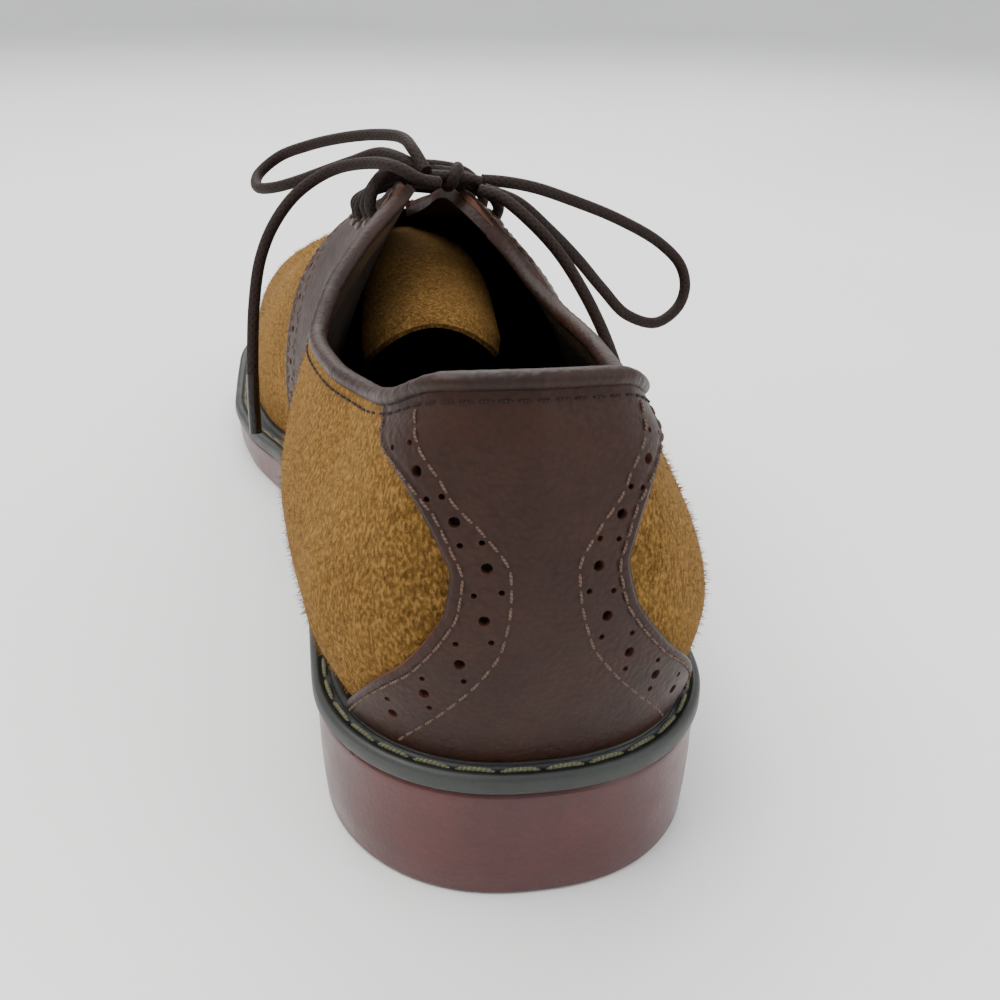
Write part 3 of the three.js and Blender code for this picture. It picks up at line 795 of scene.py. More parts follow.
@dataclass(frozen=True)
class MetalFinish:
    """Dark enamelled metal."""

    name: str = "eyelet_enamel"
    tone: str = "3A2C26"

    def material(self) -> Material:
        """Builds the metal.

        Returns:
            The material.
        """
        made, tree, shader = new_material(self.name)
        worn = ramp(tree, noise(tree, 0.8 * MM, 4), [(0.4, self.tone), (0.72, "6B5A4C")])
        fill(shader, {"Base Color": worn, "Metallic": 0.6, "Roughness": 0.38})
        return made


@dataclass(frozen=True)
class FloorFinish:
    """Pale matt studio floor."""

    name: str = "pale_floor"

    def material(self) -> Material:
        """Builds the floor.

        Returns:
            The material.
        """
        made, tree, shader = new_material(self.name)
        tone = ramp(tree, noise(tree, 0.35, 2), [(0.3, "F0F0F0"), (0.7, "F7F7F6")])
        fill(shader, {"Base Color": tone, "Roughness": 0.75})
        return made


class Wardrobe:
    """All the finishes, each built once."""

    def __init__(self) -> None:
        """Builds the materials."""
        self.suede = SuedeFinish().material()
        # The tongue's suede is a darker copy of the tan suede: painted shade for the shadow that falls on
        # the tongue inside the throat.
        self.tongue = SuedeFinish("tongue_suede_painted_shade", "3A2811", "5F441E", "7A5B2D", "8C6936").material()
        self.nap = SuedeFinish("suede_nap", "5F431E", "7F5D2C", "9C7740", "AE8750").material()
        self.leather = LeatherFinish().material()
        self.binding = LeatherFinish("binding_leather", "25140E", "351F17", 0.8 * MM, 0.46).material()
        self.cut = LeatherFinish("cut_leather_edge", "4A2A20", "6E4536", 0.5 * MM, 0.7).material()
        self.lining = LeatherFinish("dark_lining", "1C1612", "2E251E", 0.7 * MM, 0.7).material()
        self.lining_edge = LeatherFinish("tan_lining_edge", "35261A", "4E3B28", 0.7 * MM, 0.75).material()
        self.welt = RubberFinish("black_welt", "151716", "202221", 0.46).material()
        self.welt_edge = RubberFinish("grey_welt_edge", "232624", "30332F", 0.5).material()
        self.sole = RubberFinish("red_brown_rubber", "421A18", "542220", 0.3, 1.1 * MM, 0.12).material()
        self.tread = RubberFinish("worn_tread", "422422", "5A3632", 0.6, 1.6 * MM).material()
        self.lace = CordFinish("braided_lace", "150D0A", "2B1B15", 1.7 * MM, 6).material()
        self.welt_thread = CordFinish("olive_thread", "67674F", "807F66", 0.8 * MM, 1, False).material()
        self.leather_thread = CordFinish("tan_thread", "5A463C", "775F53", 0.6 * MM, 1, False).material()
        self.dark_thread = CordFinish("dark_thread", "1E1310", "38251F", 0.6 * MM, 1, False).material()
        self.eyelet = MetalFinish().material()
        self.aglet = RubberFinish("aglet_plastic", "120C0A", "1E1512", 0.25).material()
        self.floor = FloorFinish().material()


def select_only(obj: Object) -> None:
    """Makes one object the only selected and active one.

    Args:
        obj: The object.
    """
    bpy.ops.object.select_all(action="DESELECT")
    obj.select_set(True)
    bpy.context.view_layer.objects.active = obj


def make_object(name: str, vertices: Array, faces: list, materials: list, indices: list | None = None,
                uvs: Array | None = None, weld: bool = True) -> Object:
    """Makes a mesh object, welds it and turns its faces outwards.

    Args:
        name: Its name.
        vertices: Points, one row each.
        faces: Lists of point numbers.
        materials: Materials of its slots.
        indices: Slot number of each face.
        uvs: One UV for each point.
        weld: Whether coinciding points are joined.

    Returns:
        The object.
    """
    mesh = bpy.data.meshes.new(name)
    mesh.from_pydata([tuple(v) for v in vertices], [], [list(map(int, f)) for f in faces])
    for material in materials:
        mesh.materials.append(material)
    if indices is not None:
        mesh.polygons.foreach_set("material_index", np.asarray(indices, int))
    if uvs is not None:
        layer = mesh.uv_layers.new(name="UVMap")
        loops = np.empty(len(mesh.loops), int)
        mesh.loops.foreach_get("vertex_index", loops)
        layer.data.foreach_set("uv", np.asarray(uvs, float)[loops].ravel())
    obj = bpy.data.objects.new(name, mesh)
    bpy.context.collection.objects.link(obj)
    select_only(obj)
    bpy.ops.object.mode_set(mode="EDIT")
    bpy.ops.mesh.select_all(action="SELECT")
    if weld:
        bpy.ops.mesh.remove_doubles(threshold=2e-6)
    bpy.ops.mesh.normals_make_consistent(inside=False)
    bpy.ops.object.mode_set(mode="OBJECT")
    bpy.ops.object.shade_smooth_by_angle(angle=SMOOTH_ANGLE)
    return obj


@dataclass
class Shell:
    """Collects nets of points into one mesh."""

    points: list = field(default_factory=list)
    faces: list = field(default_factory=list)
    indices: list = field(default_factory=list)
    count: int = 0

    def net(self, rows: Array, slot: object = 0, closed: bool = False) -> None:
        """Adds a net of quads.

        Args:
            rows: Points as [column, row, xyz].
            slot: Material slot, or one for each step of the second axis.
            closed: Whether the last column joins the first.
        """
        n, m = rows.shape[:2]
        ids = self.count + np.arange(n * m).reshape(n, m)
        self.points.append(rows.reshape(-1, 3))
        self.count += n * m
        nxt = np.roll(ids, -1, axis=0)
        last = n if closed else n - 1
        quads = np.stack([ids[:last, :-1], nxt[:last, :-1], nxt[:last, 1:], ids[:last, 1:]], -1)
        self.faces.extend(quads.reshape(-1, 4).tolist())
        slots = np.broadcast_to(np.asarray(slot, int), (last, m - 1))
        self.indices.extend(slots.ravel().tolist())

    def rim(self, outer: Array, inner: Array, slot: int = 0) -> None:
        """Closes the four borders between two nets.

        Args:
            outer: One net's points.
            inner: The other's.
            slot: Material slot.
        """
        for k in (0, -1):
            self.net(np.stack([outer[k], inner[k]], 1), slot)
            self.net(np.stack([outer[:, k], inner[:, k]], 1), slot)

    def finish(self, name: str, materials: list) -> Object:
        """Makes the object."""
        return make_object(name, np.vstack(self.points), self.faces, materials, self.indices)


def tube_parts(line: Array, radius: object, sides: int = 12) -> tuple[Array, list, Array]:
    """Sweeps a round section along a line, with closed ends.

    Args:
        line: Points of the middle line.
        radius: Radius, or one for each point.
        sides: Number of sides.

    Returns:
        Points, faces and UVs (turns around, metres along).
    """
    line = np.asarray(line, float)
    n = len(line)
    tangent = unit(np.gradient(line, axis=0))
    helper = np.array([0, 0, 1.0]) if abs(tangent[0][2]) < 0.9 else np.array([1.0, 0, 0])
    across = unit(np.cross(tangent[0], helper))
    rings = []
    radii = np.broadcast_to(np.asarray(radius, float), (n,))
    angles = np.linspace(0, 2 * np.pi, sides + 1)
    for i in range(n):
        across = unit(across - tangent[i] * np.dot(across, tangent[i]))
        up = np.cross(tangent[i], across)
        rings.append(line[i] + radii[i] * (np.cos(angles)[:, None] * across + np.sin(angles)[:, None] * up))
    run = run_along(line)
    uvs = np.stack([np.tile(angles / (2 * np.pi), n), np.repeat(run, sides + 1)], -1)
    step = sides + 1
    starts = [i * step + k for i in range(n - 1) for k in range(sides)]
    faces = [[a, a + 1, a + 1 + step, a + step] for a in starts]
    faces.append(list(range(sides - 1, -1, -1)))
    faces.append([(n - 1) * step + k for k in range(sides)])
    return np.vstack(rings), faces, uvs


def join_tubes(lines: list, radii: list, sides: int) -> tuple[Array, list, Array]:
    """Joins several tubes.

    Args:
        lines: Middle lines.
        radii: Radius of each line, or of each of its points.
        sides: Number of sides.

    Returns:
        Points, faces and UVs.
    """
    points, faces, uvs, count = [], [], [], 0
    for line, radius in zip(lines, radii):
        p, f, uv = tube_parts(line, radius, sides)
        points.append(p)
        faces.extend([[k + count for k in face] for face in f])
        uvs.append(uv)
        count += len(p)
    return np.vstack(points), faces, np.vstack(uvs)


def tubes(name: str, lines: list, radius: object, material: Material, sides: int = 12) -> Object:
    """Makes one object of several tubes."""
    points, faces, uvs = join_tubes(lines, [radius] * len(lines), sides)
    return make_object(name, points, faces, [material], None, uvs)


def ride(obj: Object, slot: str, *nodes: str) -> Object:
    """Puts a piece on the shoe's only body.

    Args:
        obj: The piece.
        slot: Material slot; not used.
        *nodes: CAD nodes that it stands for.

    Returns:
        The piece.
    """
    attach(obj, "root")
    if nodes:
        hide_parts(*nodes)
    log.info("%s: %d faces", obj.name, len(obj.data.polygons))
    return obj


def spaced(line: Array, v: Array, pattern: tuple) -> list:
    """Repeats a pattern of holes along a line.

    Args:
        line: Points of the line.
        v: Value kept beside each point.
        pattern: Offset along in pitches, place across and radius in millimetres of each hole.

    Returns:
        Value, place across and radius in metres of each hole.
    """
    run = run_along(line)
    return [(np.interp((k + offset) * HOLE_PITCH, run, v), across, radius * MM)
            for k in range(int(run[-1] / HOLE_PITCH)) for offset, across, radius in pattern]


@dataclass(frozen=True)
class StitchSizes:
    """Sizes of one kind of stitch."""

    pitch: float
    length: float
    radius: float


@dataclass(frozen=True)
class Stitching:
    """Rows of separate stitches lying on a surface."""

    sizes: StitchSizes
    material: Material

    def row(self, line: Array, normals: Array) -> list:
        """Lays stitches along a line.

        Args:
            line: Points on the surface.
            normals: The surface's normals there.

        Returns:
            Middle lines of the stitches.
        """
        s = self.sizes
        run = run_along(line)
        count = max(int(run[-1] / s.pitch), 1)
        pitch = run[-1] / count
        made = []
        for i in range(count):
            share = np.linspace(-0.5, 0.5, 7)
            at = (i + 0.5) * pitch + share * s.length * pitch / s.pitch
            arch = s.radius * (0.45 - 1.7 * np.abs(2 * share) ** 4)
            made.append(sample(line, run, at) + unit(sample(normals, run, at)) * arch[:, None])
        return made

    def piece(self, name: str, rows: list) -> Object:
        """Makes one object of several rows.

        Args:
            name: Its name.
            rows: Pairs of line and normals.

        Returns:
            The object.
        """
        lines = [stitch for line, normals in rows for stitch in self.row(line, normals)]
        swell = self.sizes.radius * np.array([0.7, 0.92, 1, 1, 1, 0.92, 0.7])
        return tubes(name, lines, swell, self.material, 8)


@dataclass(frozen=True)
class StudioCamera:
    """The photograph's camera, turned towards the one shoe."""

    place: tuple = (-0.036, -0.3065, 0.1496)
    aim: tuple = (0.0085, -0.062, 0.0335)
    roll: float = math.radians(1.0)
    lens: float = 44.0

    def build(self) -> None:
        """Adds the camera."""
        data = bpy.data.cameras.new("camera")
        data.lens = self.lens
        data.clip_start = 0.01
        camera = bpy.data.objects.new("camera", data)
        bpy.context.collection.objects.link(camera)
        place = Vector(self.place)
        turn = (Vector(self.aim) - place).to_track_quat("-Z", "Y").to_matrix().to_4x4()
        camera.matrix_world = Matrix.Translation(place) @ turn @ Matrix.Rotation(self.roll, 4, "Z")
        bpy.context.scene.camera = camera


class Studio:
    """Floor, soft lights and a pale surround."""

    def build(self, wardrobe: Wardrobe) -> None:
        """Adds the floor, the lights and the world.

        Args:
            wardrobe: The finishes.
        """
        turn = np.linspace(0, np.pi / 2, 25)
        radius = np.concatenate([[0.02, 0.8, 1.6], 1.9 + 0.9 * np.sin(turn), [2.8]])
        height = np.concatenate([[0, 0, 0], 0.9 * (1 - np.cos(turn)), [3.0]])
        angle = np.linspace(0, 2 * np.pi, 97)[:-1, None]
        x, y = radius * np.cos(angle), radius * np.sin(angle)
        bowl = np.stack(np.broadcast_arrays(x, y, height + 0 * angle), -1)
        shell = Shell()
        shell.net(bowl, 0, True)
        shell.net(np.stack([bowl[:48, 0], bowl[:47:-1, 0]], 1))
        shell.finish("floor", [wardrobe.floor])
        middle = Vector((0, -0.03, 0.04))
        for name, place, size, power, tint in (
            ("key", (-0.45, -0.1, 1.0), 0.9, 12.0, (1, 0.985, 0.96)),
            ("fill", (0.9, -0.5, 0.7), 1.1, 6.0, (0.96, 0.98, 1)),
            ("back", (0.1, 0.75, 0.95), 1.0, 11.0, (1, 1, 1)),
        ):
            light = bpy.data.lights.new(name, "AREA")
            light.energy = power
            light.size = size
            light.color = tint
            obj = bpy.data.objects.new(name, light)
            bpy.context.collection.objects.link(obj)
            obj.location = place
            obj.rotation_euler = (middle - Vector(place)).to_track_quat("-Z", "Y").to_euler()
        world = bpy.data.worlds.new("surround")
        world.use_nodes = True
        background = world.node_tree.nodes["Background"]
        background.inputs["Color"].default_value = colour("E8EAEC")
        background.inputs["Strength"].default_value = 1.0
        bpy.context.scene.world = world


@dataclass
class SubAssembly:
    """A group of pieces built on the shoe's form."""

    form: ShoeForm
    wardrobe: Wardrobe


@dataclass
class Laces(SubAssembly):
    """The lace: bow, knot, crossings and eyelets."""

    hidden_end: float = 2.6 * MM  # how far the crossings run down into the eyelets
    line_points: int = 96
    tip_points: int = 14

    def line(self, name: str) -> Array:
        """Gives a free length's smooth middle line."""
        return smooth_line([tuple(c * MM for c in p) for p in BOW[name]], self.line_points)

    def knot(self) -> Object:
        """Wraps the knot around the bow's start.

        Returns:
            The knot.
        """
        r = self.form.sizes.lace_radius
        core = self.line("lace_knot")
        middle = core[len(core) // 2]
        along = unit(core[-1] - core[0])
        skyward = np.array([0, 0.25, 1.0])
        up = unit(skyward - along * np.dot(skyward, along))
        side = np.cross(along, up)
        angle = np.linspace(-0.25, 1.35, 40) * 2 * np.pi * 0.62
        wrap = middle + along * (np.linspace(-1.5, 1.5, 40) * r)[:, None] * 0.8
        wrap = wrap + 1.95 * r * (np.sin(angle)[:, None] * up * 0.8 + np.cos(angle)[:, None] * side)
        strands = [wrap]
        for offset, drop in ((-0.75, -0.1), (0.75, 0.1)):
            strands.append(core + side * offset * r * 1.1 + up * drop * r)
        return tubes("lace_knot_wrap", strands, r, self.wardrobe.lace, 12)

    def bow(self) -> None:
        s = self.form.sizes
        knot = ride(self.knot(), "lace", "lace_knot")
        for name in ("lace_loop_outer", "lace_loop_inner", "lace_end_outer", "lace_end_inner"):
            line = self.line(name)
            end = name.startswith("lace_end")
            piece = ride(tubes(name + "_cord", [line], s.lace_radius, self.wardrobe.lace, 16), "lace", name)
            extra = [knot] if name == "lace_loop_outer" else []
            if end:
                tip = smooth_line(line[-self.tip_points:], self.tip_points)
                sleeve = tubes(name + "_aglet", [tip], s.lace_radius * 1.06, self.wardrobe.aglet, 16)
                extra.append(ride(sleeve, "lace"))
            smooth_line(line, 40)

    def above(self, u: float, side: Side, inward: float, extra: float) -> Array:
        """Gives a point of the lace over a facing.

        Args:
            u: Share of the length.
            side: Side of the shoe.
            inward: Distance from the facing's edge.
            extra: How much higher than at rest.

        Returns:
            The point.
        """
        form, s = self.form, self.form.sizes
        rest = s.lift + s.overlay + s.lace_rest + s.gap + s.lace_radius
        g = np.asarray(girth_at(u, side))
        return form.lifted(g, form.below(g, inward), rest + extra)

    def crossings(self) -> None:
        """Runs the lace over the facings and through the eyelets."""
        s = self.form.sizes
        above = self.above
        first = EYELETS[-1]
        bar = [above(first, side, inward, extra) for side, inward, extra in (
            (Side.OUTER, s.eyelet_inset, -self.hidden_end), (Side.OUTER, s.eyelet_inset - 1 * MM, 0),
            (Side.OUTER, s.lace_rest, s.gap), (Side.INNER, s.lace_rest, s.gap),
            (Side.INNER, s.eyelet_inset - 1 * MM, 0), (Side.INNER, s.eyelet_inset, -self.hidden_end))]
        lines = [smooth_line(bar, 60)]
        for i in range(len(EYELETS) - 1, 0, -1):
            front, back = EYELETS[i], EYELETS[i - 1]
            middle = (front + back) / 2
            near = (front - back) / 6
            for side, over in ((Side.OUTER, 1), (Side.INNER, -1)):
                other = Side.INNER if side is Side.OUTER else Side.OUTER
                hop = 0.42 * s.lace_radius * over
                path = [
                    above(front, side, s.eyelet_inset, -self.hidden_end),
                    above(front, side, s.eyelet_inset - 1.2 * MM, -0.2 * MM),
                    above(middle + near, side, s.lace_rest, s.gap + hop),
                    above(middle - near, other, s.lace_rest, s.gap + hop),
                    above(back, other, s.eyelet_inset - 1.2 * MM, -0.2 * MM),
                    above(back, other, s.eyelet_inset, -self.hidden_end),
                ]
                lines.append(smooth_line(path, 60))
        strands = tubes("lace_through_eyelets", lines, s.lace_radius * 0.98, self.wardrobe.lace, 14)
        ride(strands, "lace", "lace_crossings")

    def eyelets(self) -> None:
        """Sets a ring around each hole of the facings."""
        s = self.form.sizes
        profile = [(1.65, -1.4), (1.65, 0.1), (1.8, 0.42), (2.2, 0.5), (2.6, 0.38), (2.8, 0.0), (2.7, -0.2)]
        angle = np.linspace(0, 2 * np.pi, 33)[:-1]
        shell = Shell()
        for u in EYELETS:
            for side in Side:
                g = np.asarray(girth_at(u, side))
                t = self.form.below(g, s.eyelet_inset)
                centre = self.form.lifted(g, t, s.lift + s.overlay + 0.1 * MM)
                normal = self.form.normal(g, t)
                across = unit(np.cross(normal, [0, 1.0, 0]))
                up = np.cross(normal, across)
                circle = np.cos(angle)[:, None] * across + np.sin(angle)[:, None] * up
                ring = [centre + circle * r * MM + normal * h * MM for r, h in profile]
                shell.net(np.stack(ring, 1), 0, True)
        ride(shell.finish("eyelets", [self.wardrobe.eyelet]), "leather")

    def build(self) -> None:
        """Builds the lace and its eyelets."""
        self.bow()
        self.crossings()
        self.eyelets()


@dataclass
class Bottom(SubAssembly):
    """Rubber sole, storm welt with its stitches, and insole."""

    stations: int = 220
    shank_start: float = 0.264
    sewing: StitchSizes = StitchSizes(7.4 * MM, 6.9 * MM, 0.42 * MM)

    def lengths(self, exact: tuple = ()) -> Array:
        """Lists the shares of the length at which the pieces are cut.

        Args:
            exact: Places that must be met.

        Returns:
            Shares in order.
        """
        even = (1 - np.cos(np.pi * np.linspace(0, 1, self.stations))) / 2
        kept = [u for u in even if all(abs(u - e) > 0.0015 for e in exact)]
        return np.sort(np.concatenate([kept, exact]))

    def rings(self, u: Array, side: Side, profile: list, base: Array) -> Array:
        """Places a profile at each station of one side."""
        g = girth_at(u, side)
        return np.stack([self.form.inset(g, d + 0 * u, base + h) for d, h in profile], 1)

    def outsole(self) -> None:
        """Makes the sole with its heel and tread."""
        form, s = self.form, self.form.sizes
        u = self.lengths((s.breast, self.shank_start))
        top = form.sole_top(u)
        bottom = np.where(u <= s.breast + 1e-6, 0, form.rise(UNDERSIDE, u))
        high = top - bottom
        e, taper = s.edge_rounding, s.taper
        profile = [
            (taper + 1.4 * e, 0), (taper + 0.7 * e, 0.15 * e), (taper + 0.2 * e, 0.5 * e), (taper, e),
            (0.75 * taper, 0.3 * high), (0.6 * taper, 0.55 * high), (0.52 * taper, high - 2.2 * e),
            (0.45 * taper, high - 1.1 * e), (0.5 * taper, high - 0.6 * e), (0.5 * taper + 0.7 * e, high),
        ]
        right, left = (self.rings(u, side, profile, bottom) for side in Side)
        shell = Shell()
        for net in (right, left, np.stack([right[:, -1], left[:, -1]], 1)):
            shell.net(net)
        across = np.linspace(0, 1, 41)
        under = right[:, :1] * (1 - across[None, :, None]) + left[:, :1] * across[None, :, None]
        wavy = under[..., 1] + 3 * MM * np.sin(under[..., 0] / (7 * MM))
        rows = np.sin(2 * np.pi * wavy / (6.5 * MM))
        edge = ease(np.minimum(across, 1 - across), 0.04, 0.1)[None]
        shank = 1 - ease(u, 0.255, 0.262) * (1 - ease(u, 0.5, 0.54))
        ends = ease(u, 0.02, 0.045) * (1 - ease(u, 0.955, 0.98))
        under[..., 2] += 0.9 * MM * ease(rows, 0.1, 0.55) * edge * (shank * ends)[:, None]
        shell.net(under, 1)
        ride(shell.finish("rubber_outsole", [self.wardrobe.sole, self.wardrobe.tread]), "sole", "outsole")

    def welt(self) -> None:
        """Makes the welt with its stitch channel and rib."""
        form, s = self.form, self.form.sizes
        u = self.lengths()
        r = form.reach(u)
        outside = ((0.9, 0), (0.3, 0.35), (0.02, 1), (0, 1.9), (0.04, 2.8), (0.3, 3.4), (0.85, 3.75))
        channel = ((0.24, 3.85), (0.3, 3.7), (0.36, 3.4), (0.48, 3.3), (0.56, 3.5), (0.6, 3.8))
        rib = ((-2, 3.8), (-1.8, 4.2), (-1.2, 4.5), (-0.5, 4.45), (0.6, 4.2))
        profile = [(d * MM, h * MM) for d, h in outside]
        profile += [(d * r, h * MM) for d, h in channel]
        profile += [(r + d * MM, h * MM) for d, h in rib]
        slots = [1] * (len(outside) - 1) + [0] * (len(channel) + len(rib))
        right, left = (self.rings(u, side, profile, form.sole_top(u) + s.gap) for side in Side)
        shell = Shell()
        shell.net(right, slots)
        shell.net(left, slots)
        for k in (-1, 0):
            shell.net(np.stack([right[:, k], left[:, k]], 1))
        ride(shell.finish("storm_welt", [self.wardrobe.welt, self.wardrobe.welt_edge]), "welt", "welt")
        g = np.linspace(0, 1, 1400)
        _, at = form.place(g)
        line = form.inset(g, 0.45 * form.reach(at), form.sole_top(at) + s.gap + 3.42 * MM)
        up = np.tile([0, 0, 1.0], (len(g), 1))
        thread = Stitching(self.sewing, self.wardrobe.welt_thread)
        ride(thread.piece("welt_stitches", [(line, up)]), "welt")

    def insole(self) -> None:
        """Makes the insole with its sock, softly crowned at its edge."""
        form, s = self.form, self.form.sizes
        u = self.lengths()[2:-2]
        z = form.seat(u)
        d = form.reach(u) + s.wall + 3 * s.gap
        right, left = (form.inset(girth_at(u, side), d, z) for side in Side)
        across = np.linspace(0, 1, 33)[None, :, None]
        flat = right[:, None] * (1 - across) + left[:, None] * across
        dome = ease(np.minimum(across[..., 0], 1 - across[..., 0]), -0.02, 0.12)
        ends = (ease(u, 0.0, 0.05) * (1 - ease(u, 0.95, 1)))[:, None]
        upper = flat.copy()
        upper[..., 2] += s.insole_thickness * (0.25 + 0.75 * dome * ends)
        shell = Shell()
        shell.net(upper)
        shell.net(flat)
        shell.rim(flat, upper)
        ride(shell.finish("insole_with_sock", [self.wardrobe.lining]), "lining", "insole")

    def build(self) -> None:
        """Builds the sole, the welt and the insole."""
        self.outsole()
        self.welt()
        self.insole()


@dataclass
class Upper(SubAssembly):
    """Suede upper, its lining, the leather overlays, binding and tongue."""

    sewing: StitchSizes = StitchSizes(2.8 * MM, 2.4 * MM, 0.23 * MM)
    fibres: int = 34000
    fibre_width: float = 0.06 * MM
    lining_rows: int = 46
    bare_margin: float = 0.0015
    hidden_margin: float = -0.0045
    counter_holes: tuple = ((0.25, 0, 0.92), (0.73, 0.28, 0.5), (0.8, -0.28, 0.5))
    saddle_holes: tuple = ((0.25, 6.0, 0.92), (0.75, 4.4, 0.5), (0.75, 7.6, 0.5))
    rim_margin: float = 0.005
    tongue_spread: float = math.radians(75)

    def softness(self, p: Array) -> Array:
        """Gives the suede's slight unevenness.

        Args:
            p: Points of the face.

        Returns:
            Distances along the normal.
        """
        waves = 0
        for size, depth, turn in ((31, 0.22, 0.0), (17, 0.14, 1.9), (9.5, 0.07, 4.1)):
            k = 2 * np.pi / (size * MM)
            around = np.sin(k * (p[..., 0] + 0.6 * p[..., 2]) + turn)
            waves = waves + depth * around * np.sin(k * 0.8 * p[..., 1] + 2 * turn)
        return waves * MM * 0.5

    def creases(self, u: Array, t: Array) -> Array:
        """Gives the flex creases across the vamp.

        Args:
            u: Share of the length.
            t: Height along the rib.

        Returns:
            Distances along the normal.
        """
        depth = 0
        for at, wide, deep in ((0.615, 0.006, 0.35), (0.645, 0.008, 0.55), (0.672, 0.007, 0.4)):
            bow = at + 0.035 * (1 - t) ** 1.5
            fold = np.exp(-(((u - bow) / wide) ** 2))
            depth = depth - deep * fold + 0.4 * deep * np.exp(-(((u - bow - 0.014) / wide) ** 2))
        return depth * MM * ease(t, 0.35, 0.75) * 0.8

    def suede(self) -> None:
        """Makes the suede shell with its lining, open at collar and throat."""
        form, s = self.form, self.form.sizes
        _, u = form.place(np.linspace(0, 0.5, 170))
        exact = np.array([s.binding_end, s.free_edge, s.throat_end, s.throat_end + 0.009])
        kept = [x for x in u if np.all(np.abs(exact - x) > 0.003)]
        u = np.sort(np.concatenate([kept, exact]))
        g = np.concatenate([girth_at(u, Side.OUTER), girth_at(u[1:-1][::-1], Side.INNER)])
        _, u = form.place(g)
        rows = np.linspace(0, 1, 53)
        top = form.below(g, np.maximum(form.binding_room(u) - TUCK, 0))
        t = top[:, None] * rows[None]
        gg = np.broadcast_to(g[:, None], t.shape)
        uu = np.broadcast_to(u[:, None], t.shape)
        face = form.face(gg, t)
        calm = ease(t, 0, 0.06) * (1 - ease(t, 0.97, 1))
        soft = (self.softness(face) + self.creases(uu, t)) * calm
        outer = face + form.normal(gg, t) * soft[..., None]
        inner = form.lifted(gg, t, -s.wall + 0 * t)
        inner[:, 0, 2] = outer[:, 0, 2]
        shell = Shell()
        this, following = gg[:, 1:], np.roll(gg, -1, 0)[:, 1:]
        mid_g = np.where(np.abs(this - following) > 0.4, this, (this + following) / 2)
        hidden = self.covered(mid_g, (t[:, 1:] + t[:, :-1]) / 2, self.hidden_margin)
        shell.net(outer, np.where(hidden, 1, 0), True)
        shell.net(inner, [1] * self.lining_rows + [2] * (len(rows) - 1 - self.lining_rows), True)
        shell.net(np.stack([inner[:, 0], outer[:, 0]], 1), 0, True)
        opened = u <= s.throat_end + 1e-6
        for side in (g >= 0, g <= 0):
            at = np.flatnonzero(opened & side)
            at = at[np.argsort(u[at])]
            shell.net(np.stack([outer[at, -1], inner[at, -1]], 1), 3)
        wear = self.wardrobe
        finishes = [wear.suede, wear.lining, wear.lining_edge, wear.binding]
        ride(shell.finish("suede_upper", finishes), "suede", "upper")

    def covered(self, g: Array, t: Array, margin: float) -> Array:
        """Says where an overlay hides the suede.

        Args:
            g: Places on the girth.
            t: Heights along the rib.
            margin: Share of the girth by which the overlays are taken as wider.

        Returns:
            True where hidden.
        """
        _, u = self.form.place(g)
        signed = np.minimum(np.abs(g), 1 - np.abs(g))
        counter = signed < read(COUNTER, "spread", t) + margin
        behind, ahead = read(SADDLE, "back", t) - 1.2 * margin, read(SADDLE, "front", t) + 1.2 * margin
        return counter | ((u > behind) & (u < ahead))

    def hairs(self) -> None:
        """Stands short fibres on the suede, thinned where the ribs meet at the toe."""
        form, count, rng = self.form, self.fibres, np.random.default_rng(7)
        g = rng.uniform(-0.5, 0.5, count)
        t = rng.uniform(0.01, 0.985, count) * form.under_binding(g, 0.6 * MM)
        from_tip = np.linalg.norm(form.face(g, t) - form.crest(np.ones(count)), axis=-1)
        even = rng.uniform(0, 1, count) < from_tip / (20 * MM)
        keep = ~self.covered(g, t, self.bare_margin) & even
        g, t = g[keep], t[keep]
        n = form.normal(g, t)
        root = form.lifted(g, t, 0 * t)
        down = unit(form.face(g, np.maximum(t - 0.01, 0)) - form.face(g, t))
        along = unit(np.cross(n, down))
        lean = rng.uniform(0.3, 1.3, (len(g), 1))
        brushed = down * rng.normal(0.5, 0.6, (len(g), 1)) + along * rng.normal(0, 0.6, (len(g), 1))
        way = unit(n * lean + brushed)
        long = rng.uniform(0.5, 1.4, (len(g), 1)) ** 1.8 * MM
        bend = n * rng.uniform(-0.3, 0.3, (len(g), 1))
        side = unit(np.cross(way, n)) * self.fibre_width
        mid = root + way * long * 0.55
        tip = root + unit(way + bend) * long
        points = [root + side, root - side, mid - side * 0.6, mid + side * 0.6, tip]
        base = 5 * np.arange(len(g))[:, None]
        faces = (base + [0, 1, 2, 3]).tolist() + (base + [3, 2, 4]).tolist()
        points = np.stack(points, 1).reshape(-1, 3)
        ride(make_object("suede_nap_fibres", points, faces, [self.wardrobe.nap], weld=False), "suede")

    def skive(self, distance: Array) -> Array:
        """Gives how much thinner an overlay is where it runs under the binding."""
        s = self.form.sizes
        return (s.lift + s.overlay - 0.5 * MM) * (1 - ease(distance, 0, 9 * MM))

    def overlay(self, name: str, g: Array, t: Array, bound: Array, free_top: bool = False) -> Object:
        """Makes a leather overlay with rounded, cut edges.

        Args:
            name: Its name.
            g: Girths of its net.
            t: Heights of its net.
            bound: 1 where its top runs under the binding, 0 where it is free.
            free_top: Whether its top is rounded too.

        Returns:
            The overlay.
        """
        form, s = self.form, self.form.sizes
        p = form.face(g, t)
        across, up = run_along(p), run_along(p, 1)
        edge, down = np.minimum(across, across[-1:] - across), up[:, -1:] - up
        if free_top:
            edge = np.minimum(edge, down)
        skived = self.skive(down) * bound
        rounding = 0.45 * MM * (1 - ease(edge, 0, 0.8 * MM))
        seam = 0.16 * MM * np.exp(-(((edge - 2.2 * MM) / (0.55 * MM)) ** 2))
        high = s.lift + s.overlay
        outer = form.lifted(g, t, high - np.minimum(rounding + seam + skived, high - 0.4 * MM))
        inner = form.lifted(g, t, 0.15 * MM + 0 * t)
        shell = Shell()
        shell.net(outer, 0)
        shell.net(inner, 1)
        shell.rim(outer, inner, 1)
        return shell.finish(name, [self.wardrobe.leather, self.wardrobe.cut])

